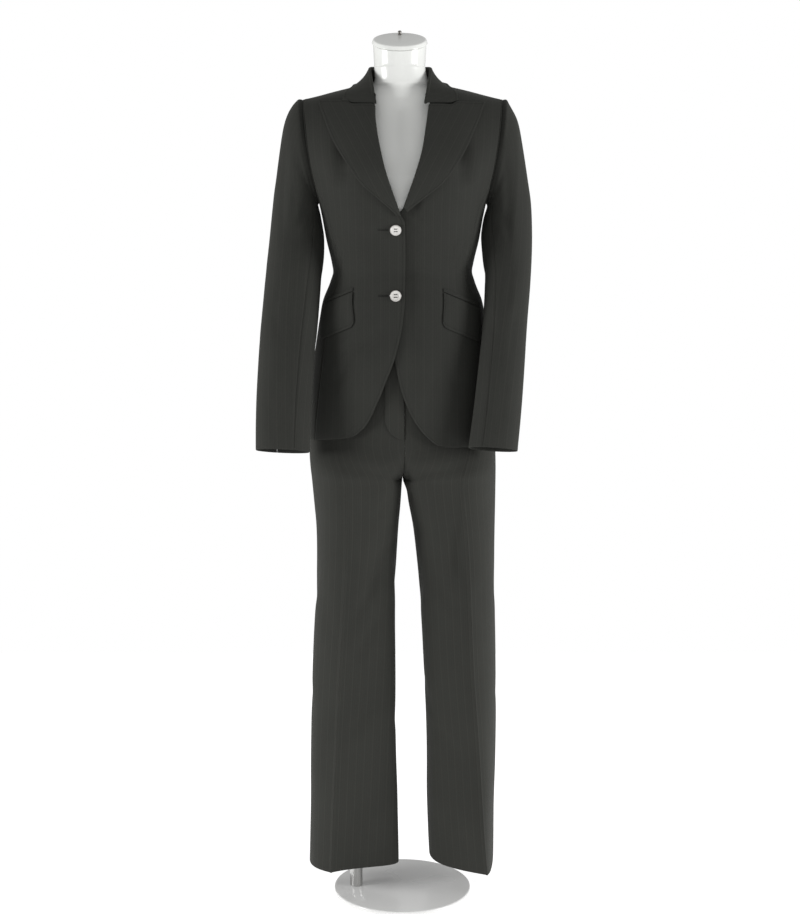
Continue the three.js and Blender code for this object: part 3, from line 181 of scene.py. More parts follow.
def smooth_rows(rows):
    """A table whose first column is a key: every other column at any key, on a smooth curve."""
    table = np.array(rows, float)
    keys, values = table[:, 0], table[:, 1:]
    last = len(keys) - 1
    low = np.maximum(np.arange(last + 1) - 1, 0)
    high = np.minimum(np.arange(last + 1) + 1, last)
    slopes = (values[high] - values[low]) / (keys[high] - keys[low])[:, None]

    def at(key):
        k = np.clip(np.asarray(key, float), keys[0], keys[-1])
        i = np.clip(np.searchsorted(keys, k, side="right") - 1, 0, last - 1)
        span = (keys[i + 1] - keys[i])[..., None]
        t = (k - keys[i])[..., None] / span
        return hermite(values[i], values[i + 1], slopes[i] * span, slopes[i + 1] * span, t)

    return at


def smooth_table(names, rows):
    """The same with named columns: the result is a dictionary of them."""
    at = smooth_rows(rows)
    return lambda key: {name: column for name, column in zip(names.split(), np.moveaxis(at(key), -1, 0))}


def point(x, y, z):
    return np.stack(np.broadcast_arrays(*(np.asarray(v, float) for v in (x, y, z))), -1)


def bezier(arc, t):
    """A point on an arc with four control points."""
    t = np.asarray(t, float)[..., None]
    u = 1 - t
    return arc[0] * u**3 + arc[1] * (3 * u * u * t) + arc[2] * (3 * u * t * t) + arc[3] * t**3


def ease(t):
    t = np.clip(t, 0, 1)
    return t * t * (3 - 2 * t)


def mix(a, b, t):
    return a + (b - a) * t


# Half width and depths of the jacket's body at a height; the two full columns say how square it is.
BODY = smooth_table("half front back full_front full_side", [
    [840, 179, 120, 131, 0.58, 0.52], [905, 175.5, 121, 133, 0.58, 0.52],
    [960, 169.5, 119, 131, 0.58, 0.52], [1015, 162, 115, 126, 0.57, 0.52],
    [1055, 156, 111, 121, 0.57, 0.52], [1090, 151, 107, 114, 0.57, 0.52],
    [1127, 144, 103, 105, 0.57, 0.52], [1160, 131, 99, 96, 0.57, 0.53],
    [1185, 127, 97, 91, 0.58, 0.54], [1235, 137.5, 112, 96, 0.6, 0.55],
    [1270, 143.5, 124, 101, 0.62, 0.55], [1302, 149.5, 129, 105, 0.62, 0.55],
])
# How far the form lies inside that body.
INSET = smooth_table("side front back", [
    [848, 72, 62, 63], [856, 49, 44, 42], [870, 31, 32, 32], [892, 22, 26, 25], [925, 17, 22, 20],
    [980, 14, 20, 17], [1035, 12, 17, 14], [1049, 11.4, 16.4, 13.6], [1085, 11.4, 16.4, 13.6],
    [1130, 8, 10, 8], [1185, 7, 9, 7], [1270, 8, 10, 7], [1302, 9, 11, 8],
])
SHOULDERS = smooth_table("half front back full_front full_side", [
    [1345, 146, 113, 99, 0.6, 0.55], [1390, 151, 96, 101, 0.58, 0.52], [1430, 154, 75, 94, 0.55, 0.42],
    [1460, 155, 59, 84, 0.45, 0.3], [1477, 155, 51, 75, 0.38, 0.15], [1485, 150, 47, 69, 0.34, 0.12],
    [1490.5, 130, 45, 64, 0.3, 0.1], [1496.5, 107, 42, 60, 0.3, 0.1], [1502, 84, 40, 56, 0.3, 0.1],
    [1507.5, 62, 40, 54, 0.4, 0.25], [1511, 53, 41, 55, 0.52, 0.5], [1516, 49, 40, 53, 0.5523, 0.5523],
    [1524, 46.5, 40, 51, 0.5523, 0.5523], [1541, 45.5, 40, 51, 0.5523, 0.5523],
])
FORM = {"foot": 848, "join": 1302, "above": 1345, "shoulder": 1500, "sides": 112}
NECK = {"x": -5, "y": 5.5, "foot": 1541, "foot_radius": 45.5, "top": 1581, "radius": 47.5, "lean": 19}
CAP = {"foot_radius": 49.5, "high": 8}
STUD = {"radius": 3.2, "waist": 2.2, "y": 30}


def form_ring(z):
    """The form's section: the body's, drawn in, up to the bust, and its own above that."""
    section = SHOULDERS(z) if z >= FORM["above"] else BODY(z)
    half, front, back = section["half"], section["front"], section["back"]
    if z < FORM["above"]:
        inset = INSET(z)
        half, front, back = half - inset["side"], front - inset["front"], back - inset["back"]
    quarter = np.arange(FORM["sides"]) * 4 / FORM["sides"]
    sign = np.where(quarter <= 2, 1, -1)
    around = np.where(quarter <= 2, quarter, 4 - quarter)
    depth = np.where(around <= 1, -front, back)
    full_front, full_side = section["full_front"], section["full_side"]
    arc = [point(half, 0, z), point(half, depth * full_side, z), point(half * full_front, depth, z),
           point(0, depth, z)]
    ring = bezier(arc, np.abs(1 - around))
    ring[:, 0] = ring[:, 0] * sign + NECK["x"] * ease((z - FORM["shoulder"]) / (NECK["foot"] - FORM["shoulder"]))
    return ring


def neck_ring(share):
    """A ring of the leaning neck, at a share of the way from the collar to the cap."""
    radius = mix(NECK["foot_radius"], NECK["radius"], share)
    angle = np.arange(FORM["sides"]) * 2 * math.pi / FORM["sides"]
    y = -radius * np.cos(angle)
    slope = math.tan(math.radians(NECK["lean"] * share))
    return point(NECK["x"] + radius * np.sin(angle), NECK["y"] + y, mix(NECK["foot"], NECK["top"], share) + y * slope)


form_heights = np.concatenate([
    FORM["foot"] + np.array([0, 1, 3, 6, 10, 15, 22, 32]), np.arange(892, FORM["join"], 10), [FORM["join"], 1316, 1330],
    np.arange(FORM["above"], 1480, 6), np.arange(1480, NECK["foot"], 2.0),
])


def form_blend(z):
    """Between the bust and the chest the two sections flow into each other."""
    if FORM["join"] < z < FORM["above"]:
        share = (z - FORM["join"]) / (FORM["above"] - FORM["join"])
        low, high = form_ring(FORM["join"]), form_ring(FORM["above"])
        ring = mix(low, high, share)
        ring[:, 2] = z
        return ring
    return form_ring(z)


form_rings = [form_blend(z) for z in form_heights] + [neck_ring(s) for s in np.linspace(0, 1, 9)]
form_gloss = lacquer("form_white_gloss", (0.93, 0.94, 0.91), 0.22, 500)
add_piece("dress_form", *closed_rings(np.array(form_rings)), form_gloss, ["form_torso"], "form_gloss")


def on_cap(rings):
    """Tilts what is turned upright to the top of the leaning neck."""
    lean = math.radians(NECK["lean"])
    y = rings[..., 1] * math.cos(lean) - rings[..., 2] * math.sin(lean)
    z = rings[..., 1] * math.sin(lean) + rings[..., 2] * math.cos(lean)
    return point(rings[..., 0] + NECK["x"], y + NECK["y"], z + NECK["top"])


cap_profile = [
    (CAP["foot_radius"] - 1, GAP), (CAP["foot_radius"], GAP + 1), (48.6, 4.6), (48.0, 5.4), (47.9, 6.2),
    (47.3, 7.2), (46.2, 7.9), (44.5, CAP["high"] + GAP), (20, CAP["high"] + GAP), (1, CAP["high"] + GAP),
]
add_piece("form_cap", *closed_rings(on_cap(turned(cap_profile, 96))), form_gloss, ["neck_cap"], "form_gloss")

stud_foot = CAP["high"] + 2 * GAP
stud_profile = [
    (STUD["radius"], stud_foot), (STUD["radius"], stud_foot + 1.6), (STUD["waist"], stud_foot + 2),
    (STUD["waist"], stud_foot + 2.8), (STUD["radius"], stud_foot + 3.2), (STUD["radius"], stud_foot + 6),
    (2.6, stud_foot + 6.8), (1.2, stud_foot + 7), (1.1, stud_foot + 5),
]
stud_rings = turned(stud_profile, 32) + np.array([0, STUD["y"], 0])
stud_metal = brushed_metal("form_stud_metal", (0.20, 0.19, 0.18), 0.35, (900, 900, 900))
add_piece("form_stud", *closed_rings(on_cap(stud_rings)), stud_metal, ["neck_stud"], "stud_metal")

# ---------------------------------------------------------------- trousers
# Straight-cut trousers in fine worsted with a self stripe: two fronts and two backs, sewn at the
# outseams, the inseams and the crotch. Each leg has a pressed crease down its front and back.
CLOTH = 2.0  # thickness of the wall
SEAM_GAP = 0.3
HEM_TROUSER = {"right": 57, "left": 60}
LEG_TOP = 1049  # where the waistband is sewn on
CROTCH = 800
LEG_NAMES = "out_x out_y in_x in_y front_x front_y back_x back_y crease"
LEG = {
    "right": smooth_table(LEG_NAMES, [
        [60, 177, 8, 7, 0, 134, -58, 76, 62, 30], [140, 174.5, 6, 8, 0, 130, -59, 76, 62, 30],
        [300, 172, 4, 12, 0, 123, -62, 78, 64, 28], [450, 168, 2, 13, 0, 115, -67, 80, 68, 25],
        [600, 160, 2, 13, 2, 106, -80, 84, 80, 18], [700, 159, 3, 8.5, 5, 101, -92, 88, 94, 10],
        [770, 164, 4, 2, 10, 100, -100, 90, 109, 3], [850, 170, 4, 0, 0, 100, -104, 90, 118, 0],
        [905, 167, 2, 0, 0, 100, -101, 90, 114, 0],
    ]),
    "left": smooth_table(LEG_NAMES, [
        [60, 176, 84, 52, 36, 158, -77, 114, 110, 24], [140, 176, 66, 48, 30, 151, -74, 111, 104, 24],
        [300, 178, 42, 46, 22, 141, -72, 108, 90, 24], [450, 176, 28, 40, 14, 130, -74, 104, 84, 22],
        [600, 172, 16, 31, 8, 123, -84, 100, 88, 18], [700, 171, 9, 21, 8, 117, -94, 96, 98, 12],
        [770, 171, 6, 8, 12, 110, -102, 94, 111, 6], [850, 171, 4, 0, 0, 104, -104, 92, 118, 0],
        [905, 167, 2, 0, 0, 102, -101, 92, 114, 0],
    ]),
}
HIP_INSET = {"side": 8, "front": 13, "back": 10}  # how far the trousers lie inside the jacket
HIP_TO = 880  # from the crotch up to here a leg's section turns into the hip's
MIDDLE_X = 4
# The rise: height at the side, then y and height of the centre seam, and its turn in degrees.
RISE = {
    "front": [[800, 15, 800, 0], [822, -32, 808, 12], [850, -68, 834, 40], [880, -92, 868, 85],
              [905, 0, 900, 90], [960, 0, 959, 90], [1015, 0, 1015, 90], [1049, 0, 1049, 90]],
    "back": [[800, 15, 800, 0], [822, 58, 812, 40], [850, 96, 838, 70], [880, 115, 872, 85],
             [905, 0, 902, 90], [960, 0, 960, 90], [1015, 0, 1015, 90], [1049, 0, 1049, 90]],
}
FREE_RISE = 4  # so many rows from the crotch have a centre seam of their own
LEG_ROWS = [100, 170, 250, 340, 430, 500, 560, 610, 660, 710, 750, 780]
ROUND = 0.55  # handle length against radius, near a circle's
FILL = 24  # a row comes out wholly this far from the centre seam
MIDDLE_RISE = 60  # from the crotch up to this far above it the middle moves over to the body's
TROUSER_SPANS = 176
CREASE = {"high": 1.5, "wide": 2.2, "least": 0.35}  # the pressed ridge, which fades upwards to a least share
CREASE_TOP = {"right": (740, 120), "left": (850, 80)}  # height where it is at its least, and the fade below that
INNER_ROUND = smooth_rows([  # the same inside the crease, squarer at the fork
    [60, 0.55], [480, 0.55], [600, 0.6], [700, 0.72], [770, 0.85], [800, 0.9], [822, 0.9], [850, 0.84],
    [880, 0.68], [905, 0.55],
])
SIGN = {"right": -1, "left": 1}
# Soft folds: the side they are seen from, both ends (across, height), width, depth (a ridge is
# above 0), and how far the middle bows out of the straight line.
LEG_FOLDS = [
    ("front", -24, 690, -62, 592, 13, -4.6, 4), ("front", -40, 640, -88, 545, 11, -3.2, -3),
    ("front", -30, 560, -84, 470, 12, -2.6, 3), ("front", -60, 380, -96, 320, 13, -2.2, 0),
    ("front", 103, 735, 101, 640, 10, -4.6, 2), ("front", 60, 640, 92, 560, 12, -2.6, 3),
    ("front", 70, 330, 110, 270, 13, -2.2, 0), ("front", -52, 716, -80, 640, 9, 1.6, 2),
    ("front", -18, 620, -44, 520, 10, 1.4, 0), ("front", 78, 700, 84, 600, 9, 1.5, -3),
    ("front", -70, 420, -74, 360, 5, -0.9, 1), ("front", -62, 412, -66, 350, 4, 0.8, 1),
    ("front", 46, 800, 30, 700, 12, -2.6, 3), ("front", -20, 790, -52, 735, 12, -2.2, -3),
    ("front", 140, 620, 150, 520, 12, -1.4, 2), ("front", -140, 600, -132, 505, 13, -1.3, 2),
    ("front", -146, 300, -138, 210, 12, -1.0, 0), ("front", 96, 170, 120, 100, 11, -1.3, 1),
    ("back", 60, 700, 96, 610, 13, -3.6, 4), ("back", 40, 610, 84, 545, 12, -2.8, 2),
    ("back", -56, 716, -98, 640, 13, -3.4, -3), ("back", -40, 590, -88, 520, 12, -2.4, 2),
    ("back", -60, 300, -100, 250, 12, -1.8, 1), ("back", 84, 290, 124, 226, 12, -2.0, 2),
    ("back", 96, 800, 124, 720, 13, -2.0, 3), ("back", -98, 790, -128, 712, 13, -1.8, 3),
    ("right", -30, 640, 10, 560, 13, -2.0, 3), ("right", 20, 420, -24, 350, 12, -1.4, 2),
    ("left", -26, 660, 14, 570, 13, -2.0, -3), ("left", 30, 400, -6, 320, 12, -1.5, 2),
]


def grid_normals(grid, flip):
    """The way out of the cloth at each point of a grid whose rows go up."""
    normals = np.cross(np.gradient(grid, axis=1), np.gradient(grid, axis=0))
    normals /= np.maximum(np.linalg.norm(normals, axis=-1, keepdims=True), 1e-9)
    return -normals if flip else normals


def distance_to(points, line):
    """Least distance from each point to a line of points."""
    start, way = line[:-1], np.diff(line, axis=0)
    square = np.maximum((way**2).sum(-1), 1e-9)
    best = np.full(points.shape[:-1], np.inf)
    for a, w, s in zip(start, way, square):
        off = points - a
        along = np.clip((off @ w) / s, 0, 1)
        best = np.minimum(best, ((off - along[..., None] * w) ** 2).sum(-1))
    return np.sqrt(best)


def lengths(grid, axis):
    """Length along the rows or the columns of a grid, from its first point."""
    step = np.linalg.norm(np.diff(grid, axis=axis), axis=-1)
    first = np.zeros_like(np.take(step, [0], axis=axis))
    return np.concatenate([first, np.cumsum(step, axis=axis)], axis=axis)


FOLD_END = {"past": 0.22, "fade": 0.5}  # shares of its length that a fold runs on, and dies away over
FOLD_TURN = 0.45  # a fold dies away where the cloth turns this far from its view
SEAM_PRESS = {"deep": 0.85, "wide": 1.5, "ridge": 0.22, "ridge_at": 5, "ridge_wide": 3}  # a pressed-open seam
FREE_EDGE = {"deep": 0.45, "wide": 1.0, "thinner": 0.8, "thin_wide": 1.2, "calm": 6}  # a turned and pressed edge


def fold_depth(grid, normals, folds):
    """Depth of all soft folds at each point of a grid."""
    depth = np.zeros(grid.shape[:-1])
    facing = {"front": -normals[..., 1], "back": normals[..., 1], "right": -normals[..., 0], "left": normals[..., 0]}
    for view, h0, z0, h1, z1, width, deep, bow in folds:
        across = grid[..., 0] if view in ("front", "back") else grid[..., 1]
        dh, dz = h1 - h0, z1 - z0
        long = math.hypot(dh, dz)
        t = ((across - h0) * dh + (grid[..., 2] - z0) * dz) / long**2
        off = ((across - h0) * dz - (grid[..., 2] - z0) * dh) / long - bow * 4 * t * (1 - t)
        ends = ease((t + FOLD_END["past"]) / FOLD_END["fade"]) * ease((1 + FOLD_END["past"] - t) / FOLD_END["fade"])
        depth += deep * ends * np.exp(-((off / width) ** 2)) * ease(facing[view] / FOLD_TURN)
    return depth


def unevenness(grid, size):
    """The low, wide unevenness of hanging cloth, which runs on across the seams."""
    x, y, z = np.moveaxis(grid, -1, 0)
    return size * (
        0.42 * np.sin(x / 17 + z / 71 + 1.7 * np.sin(z / 133 + y / 40) + 0.6)
        + 0.36 * np.sin(z / 37 - x / 49 + y / 31 + 2.1)
        + 0.22 * np.sin(x / 9.5 - z / 29 + 1.1 * np.sin(z / 61) + 4.0)
    )


def ring_faces(rows, columns, flip):
    """Faces of a closed wall: a grid on its right side, the same grid inside, and the four edges."""
    at = np.arange(rows * columns).reshape(rows, columns)
    under = at + rows * columns

    def quads(a, b, c, d):
        return np.stack([a.ravel(), b.ravel(), c.ravel(), d.ravel()], 1)

    faces = np.concatenate([
        quads(at[:-1, :-1], at[:-1, 1:], at[1:, 1:], at[1:, :-1]),
        quads(under[:-1, :-1], under[1:, :-1], under[1:, 1:], under[:-1, 1:]),
        quads(at[0, :-1], under[0, :-1], under[0, 1:], at[0, 1:]),
        quads(at[-1, :-1], at[-1, 1:], under[-1, 1:], under[-1, :-1]),
        quads(at[:-1, 0], at[1:, 0], under[1:, 0], under[:-1, 0]),
        quads(at[:-1, -1], under[:-1, -1], under[1:, -1], at[1:, -1]),
    ])
    return (faces[:, ::-1] if flip else faces).tolist()


def cloth_piece(name, grid, node, cut, edges, material, flip=False, thickness=CLOTH, extra=0.0, folds=(),
                uneven=0.5):
    """A piece of the suit from a grid of points on its right side, as a closed wall with pressed edges.

    cut holds each point's place on the flat cloth, and edges names each side a seam or free.
    The result is the finished right side and the way out of it.
    """
    normals = grid_normals(grid, flip)
    thick = np.broadcast_to(np.asarray(thickness, float), grid.shape[:-1]).copy()
    depth = fold_depth(grid, normals, folds) + unevenness(grid, uneven) + extra
    sides = {"bottom": grid[0], "top": grid[-1], "start": grid[:, 0], "end": grid[:, -1]}
    for side, kind in edges.items():
        off = distance_to(grid, sides[side])
        if kind == "seam":
            ridge = SEAM_PRESS["ridge"] * np.exp(-(((off - SEAM_PRESS["ridge_at"]) / SEAM_PRESS["ridge_wide"]) ** 2))
            depth -= SEAM_PRESS["deep"] * np.exp(-((off / SEAM_PRESS["wide"]) ** 2)) - ridge
        if kind == "free":
            depth -= FREE_EDGE["deep"] * np.exp(-((off / FREE_EDGE["wide"]) ** 2))
            thick -= FREE_EDGE["thinner"] * np.exp(-((off / FREE_EDGE["thin_wide"]) ** 2))
            depth -= unevenness(grid, uneven) * np.exp(-off / FREE_EDGE["calm"])
    outer = grid + normals * depth[..., None]
    beside = {"bottom": (np.s_[0], np.s_[1]), "top": (np.s_[-1], np.s_[-2]),
              "start": (np.s_[:, 0], np.s_[:, 1]), "end": (np.s_[:, -1], np.s_[:, -2])}
    for side, (edge, inside) in beside.items():
        if edges.get(side) == "seam":
            way = outer[inside] - outer[edge]
            outer[edge] += way * (SEAM_GAP / 2 / np.maximum(np.linalg.norm(way, axis=-1, keepdims=True), SEAM_GAP))
    normals = grid_normals(outer, flip)
    inner = outer - normals * thick[..., None]
    points = np.concatenate([outer.reshape(-1, 3), inner.reshape(-1, 3)])
    flat = np.concatenate([cut.reshape(-1, 2), cut.reshape(-1, 2)])
    piece = add_piece(name, points, ring_faces(*grid.shape[:2], flip), material, [node], "suit_wool", flat)
    return outer, normals


def spread(count, width, ends=(0.45, 1.2, 2.4, 4)):
    """Shares 0 to 1 in even steps, with closer ones near both ends of a width in millimetres."""
    close = np.array(ends) / width
    return np.unique(np.round(np.concatenate([np.linspace(0, 1, count + 1), close, 1 - close]), 6))


def worsted(name, colour, stripe, slub):
    """Fine worsted: a light stripe with a darker line on each side, a faint self stripe and a twill."""
    material, tree, shader = new_material(
        name, Sheen_Weight=0.05, Sheen_Roughness=0.45, Sheen_Tint=(0.9, 0.92, 0.85, 1), Specular_IOR_Level=0.1)

    def number(operation, a, b=None):
        made = tree.nodes.new("ShaderNodeMath")
        made.operation = operation
        for socket, value in zip(made.inputs, (a, b)):
            if isinstance(value, (int, float)):
                socket.default_value = value
            elif value is not None:
                tree.links.new(value, socket)
        return made.outputs["Value"]

    def noise(vector, scale, **more):
        return added(tree, "ShaderNodeTexNoise", Vector=vector, Scale=scale, **more).outputs["Fac"]

    place = added(tree, "ShaderNodeTexCoord").outputs["Object"]
    uv = tree.nodes.new("ShaderNodeUVMap")
    uv.uv_map = "cloth"
    cut = uv.outputs["UV"]
    parts = added(tree, "ShaderNodeSeparateXYZ", Vector=cut)
    across, along = parts.outputs["X"], parts.outputs["Y"]
    wander = noise(cut, 40)  # yarns never lie quite evenly
    moved = number("ADD", across, number("MULTIPLY", wander, 0.0006))
    light = [c * (1 + stripe) for c in colour]
    light[0] *= 1.01
    dark = [c * (1 - stripe * 0.45) for c in colour]
    stripes = shades(tree, number("FRACT", number("MULTIPLY", moved, 1 / STRIPE_PITCH)), [
        (0.0, colour), (0.34, colour), (0.40, dark), (0.455, light), (0.545, light), (0.60, dark), (0.66, colour)])

    fine = number("SINE", number("MULTIPLY", moved, 2 * math.pi / SELF_PITCH))
    cloud = noise(place, 7, Detail=3)
    stretch = added(tree, "ShaderNodeMapping", Vector=cut, Scale=(1, 0.25, 1))
    fibre = noise(stretch.outputs["Vector"], slub, Detail=2)
    shade = number("ADD", number("MULTIPLY", fine, 0.035), number("MULTIPLY", cloud, 0.46))
    shade = number("ADD", number("ADD", shade, number("MULTIPLY", fibre, 0.24)), 0.65)
    tint = tree.nodes.new("ShaderNodeVectorMath")
    tint.operation = "SCALE"
    tree.links.new(stripes, tint.inputs[0])
    wire(tree, tint, Scale=shade)

    slope = number("ADD", across, number("MULTIPLY", along, 0.6))
    twill = number("SINE", number("MULTIPLY", slope, 2 * math.pi / TWILL))
    height = number("ADD", number("MULTIPLY", twill, 0.5), number("MULTIPLY", fibre, 1.2))
    bump = added(tree, "ShaderNodeBump", Strength=0.35, Distance=0.0002, Height=height)
    rough = added(tree, "ShaderNodeMapRange", Value=cloud, To_Min=0.66, To_Max=0.86)
    wire(tree, shader, Base_Color=tint.outputs["Vector"], Normal=bump.outputs["Normal"],
         Roughness=rough.outputs["Result"])
    return material


STRIPE_PITCH = 0.0155  # metres on the cloth
SELF_PITCH = 0.0039
TWILL = 0.0011
leg_wool = worsted("suit_wool_trousers", (0.0305, 0.0310, 0.0275), 0.13, 900)


def leg_arcs(side, face, z, centre):
    """Both arcs of a quarter of a leg: outseam to crease, and crease to inseam or centre seam."""
    sign = SIGN[side]
    r = LEG[side](z)
    ahead = -1 if face == "front" else 1
    outer = point(sign * r["out_x"], r["out_y"], z)
    crease = point(sign * r[face + "_x"], r[face + "_y"], z)
    inner = point(sign * r["in_x"], r["in_y"], z) if centre is None else np.array(centre[:3])
    turn = math.radians(0 if centre is None else centre[3])
    slant = math.sin(math.radians(r["crease"])) * ahead
    level = math.cos(math.radians(r["crease"]))
    out_wide, in_wide = abs(outer[0] - crease[0]), abs(inner[0] - crease[0])
    out_deep, in_deep = abs(outer[1] - crease[1]), abs(inner[1] - crease[1])
    full = float(INNER_ROUND(z)[..., 0])
    out_side, in_side = sign * out_wide * ROUND, sign * in_wide * full
    out_arc = [
        outer,
        point(outer[0], outer[1] + ahead * out_deep * ROUND, z),
        point(crease[0] + out_side * level, crease[1] - out_wide * ROUND * slant, z),
        crease,
    ]
    in_arc = [
        crease,
        point(crease[0] - in_side * level, crease[1] - in_wide * full * slant, mix(z, inner[2], 0.3)),
        point(inner[0] + in_side * math.sin(turn), inner[1] + ahead * in_deep * full * math.cos(turn), inner[2]),
        inner,
    ]
    return out_arc, in_arc


OUT_SHARES = spread(18, 90)[:-1]
IN_SHARES = spread(24, 130)


def leg_row(side, face, z, centre=None):
    out_arc, in_arc = leg_arcs(side, face, z, centre)
    return np.concatenate([bezier(out_arc, OUT_SHARES), bezier(in_arc, IN_SHARES)])


def hip_arc(face, z, centre_z):
    """The arc from the side to the centre seam at the hips."""
    b = BODY(z)
    half = b["half"] - HIP_INSET["side"]
    depth = (b[face] - HIP_INSET[face]) * (-1 if face == "front" else 1)
    return [point(half, 0, z), point(half, depth * b["full_side"], z),
            point(half * b["full_front"], depth, centre_z), point(0, depth, centre_z)]


def hip_row(side, face, z, centre_z):
    arc = hip_arc(face, z, centre_z)
    row = bezier(arc, np.concatenate([OUT_SHARES * 0.5, 0.5 + IN_SHARES * 0.5]))
    half = arc[0][0]
    row[:, 0] = SIGN[side] * row[:, 0] + MIDDLE_X * (1 - row[:, 0] / half)
    return row


def filled_out(row, depth):
    """Brings a row out to a depth where it is fullest, and leaves its two seams where they are."""
    free = ease(np.linalg.norm(row - row[-1], axis=1) / FILL)
    free[0] = 0
    row[:, 1] *= mix(1, max(depth / np.abs(row[:, 1]).max(), 1), free)
    return row


def trouser_rows(side, face):
    """All rows of a front or back from the hem to the waistband, on smooth curves between the named ones."""
    keyed = [(z, leg_row(side, face, z)) for z in [HEM_TROUSER[side]] + LEG_ROWS]
    for i, (z, y, centre_z, turn) in enumerate(RISE[face]):
        hip = hip_row(side, face, z, centre_z)
        if i < FREE_RISE:
            centre = (MIDDLE_X * float(ease((centre_z - CROTCH) / MIDDLE_RISE)), y, centre_z, turn)
            share = float(ease((z - CROTCH) / (HIP_TO - CROTCH)))
            depth = mix(abs(LEG[side](z)[face + "_y"]), BODY(z)[face] - HIP_INSET[face], share)
            hip = filled_out(mix(leg_row(side, face, z, centre), hip, share), float(depth))
        keyed.append((z, hip))
    at = smooth_rows([[z, *row.ravel()] for z, row in keyed])
    hem = HEM_TROUSER[side]
    heights = hem + (LEG_TOP - hem) * spread(TROUSER_SPANS, LEG_TOP - hem)
    return at(heights).reshape(len(heights), -1, 3)


for side, sign in SIGN.items():
    for face in ("front", "back"):
        grid = trouser_rows(side, face)
        crease = len(OUT_SHARES)
        across = lengths(grid, 1)
        across -= across[:, crease:crease + 1]
        height = grid[..., crease, 2][:, None]
        top, over = CREASE_TOP[side]
        fade = ease((top - height) / over)
        ridge = CREASE["high"] * np.exp(-((across / CREASE["wide"]) ** 2)) * mix(CREASE["least"], 1.0, fade)
        cut = np.stack([across + 3 * sign, lengths(grid, 0)], -1)
        cloth_piece(
            f"cloth_trouser_{face}_{side}", grid, f"trouser_{face}_{side}", cut,
            {"bottom": "free", "top": "seam", "start": "seam", "end": "seam"}, leg_wool,
            flip=(sign > 0) == (face == "front"), extra=ridge, folds=LEG_FOLDS, uneven=0.55,
        )

# ---------------------------------------------------------------- waistband and fly
# The waistband is one straight band of the same cloth, sewn round the top and closed at the fly.
# The fly is a facing stitched down on the right front, straight at the centre and curved at its foot.
WAISTBAND = {"low": 1049, "top": 1085}
FLY = {"width": 33, "foot": 886, "bend": 42, "least": 2, "lift": 1.7, "thick": 1.2}
FLY_EDGE = MIDDLE_X - 1


def band_row(z):
    return np.concatenate([
        hip_row("left", "front", z, z)[::-1], hip_row("left", "back", z, z)[1:],
        hip_row("right", "back", z, z)[::-1][1:], hip_row("right", "front", z, z)[1:],
    ])


band = np.array([band_row(z) for z in mix(WAISTBAND["low"], WAISTBAND["top"], spread(6, 36))])
cloth_piece("cloth_waistband", band, "waistband", np.stack([lengths(band, 0), lengths(band, 1)], -1),
            {"bottom": "seam", "top": "free", "start": "free", "end": "free"}, leg_wool, uneven=0.2)


def solve(function, value, low, high):
    """Where a function that only rises reaches each value."""
    value = np.asarray(value, float)
    low, high = np.full(value.shape, float(low)), np.full(value.shape, float(high))
    for _ in range(34):
        middle = (low + high) / 2
        below = function(middle) < value
        low, high = np.where(below, middle, low), np.where(below, high, middle)
    return (low + high) / 2


def fly_row(z):
    arc = hip_arc("front", z, z)
    share = min((z - FLY["foot"]) / FLY["bend"], 1)
    wide = FLY["width"] * math.sqrt(1 - (1 - share) ** 2) + FLY["least"]
    x = mix(FLY_EDGE - wide, FLY_EDGE, spread(10, 33, (0.4, 1.0, 2.0)))
    t = solve(lambda s: -bezier(arc, s)[..., 0], x - MIDDLE_X, 0, 1)
    return point(x, bezier(arc, t)[:, 1] - FLY["lift"], z)


fly = np.array([fly_row(z) for z in mix(FLY["foot"], WAISTBAND["low"] - 1, spread(44, 176, (0.4, 1.2, 2.4)))])
cloth_piece("cloth_fly", fly, "fly", np.stack([fly[..., 0], fly[..., 2]], -1),
            {"bottom": "free", "start": "free", "end": "free"}, leg_wool, thickness=FLY["thick"], uneven=0.15)

# ---------------------------------------------------------------- jacket body
# Each side of the jacket is a front with a dart, a side panel and a back, sewn edge to edge and
# pressed. The fronts are cut away in a curve, and the right one laps over the left.
HEM_JACKET = {"right": 886, "left": 871, "centre_back": 866}
HEM_SIDE = {"right": 877, "left": 868}  # at the side seams
FRONT_SEAM, BACK_SEAM = 0.7, 1.42  # where the side panel's seams lie, in quarters round the body
BUST = {"out": 6, "z": 1285, "reach": 90}
ARMHOLE = {"top": 177, "bottom": 149, "middle": 1392.5, "rise": 90.5, "front": 62, "back": 66,
           "scoop": 0.12, "bow": 4, "y": 2}
ARMPIT_FRONT, ARMPIT_BACK = 125, 238  # degrees round the armhole, from the shoulder tip over the front
LOWER, JOIN, LEVEL_PER_DEGREE = 1270, 1340, 1.5
HEM_FADE = 980  # below this height the rows slope with the hem
NECK_POINT = np.array([68.0, 5.0, 1511.0])
SHOULDER_LEVEL = JOIN + ARMPIT_FRONT * LEVEL_PER_DEGREE
FRONT_SHOULDER_BLEND = SHOULDER_LEVEL - 15 * LEVEL_PER_DEGREE
BACK_TOP_LEVEL = JOIN + (360 - ARMPIT_BACK) * LEVEL_PER_DEGREE
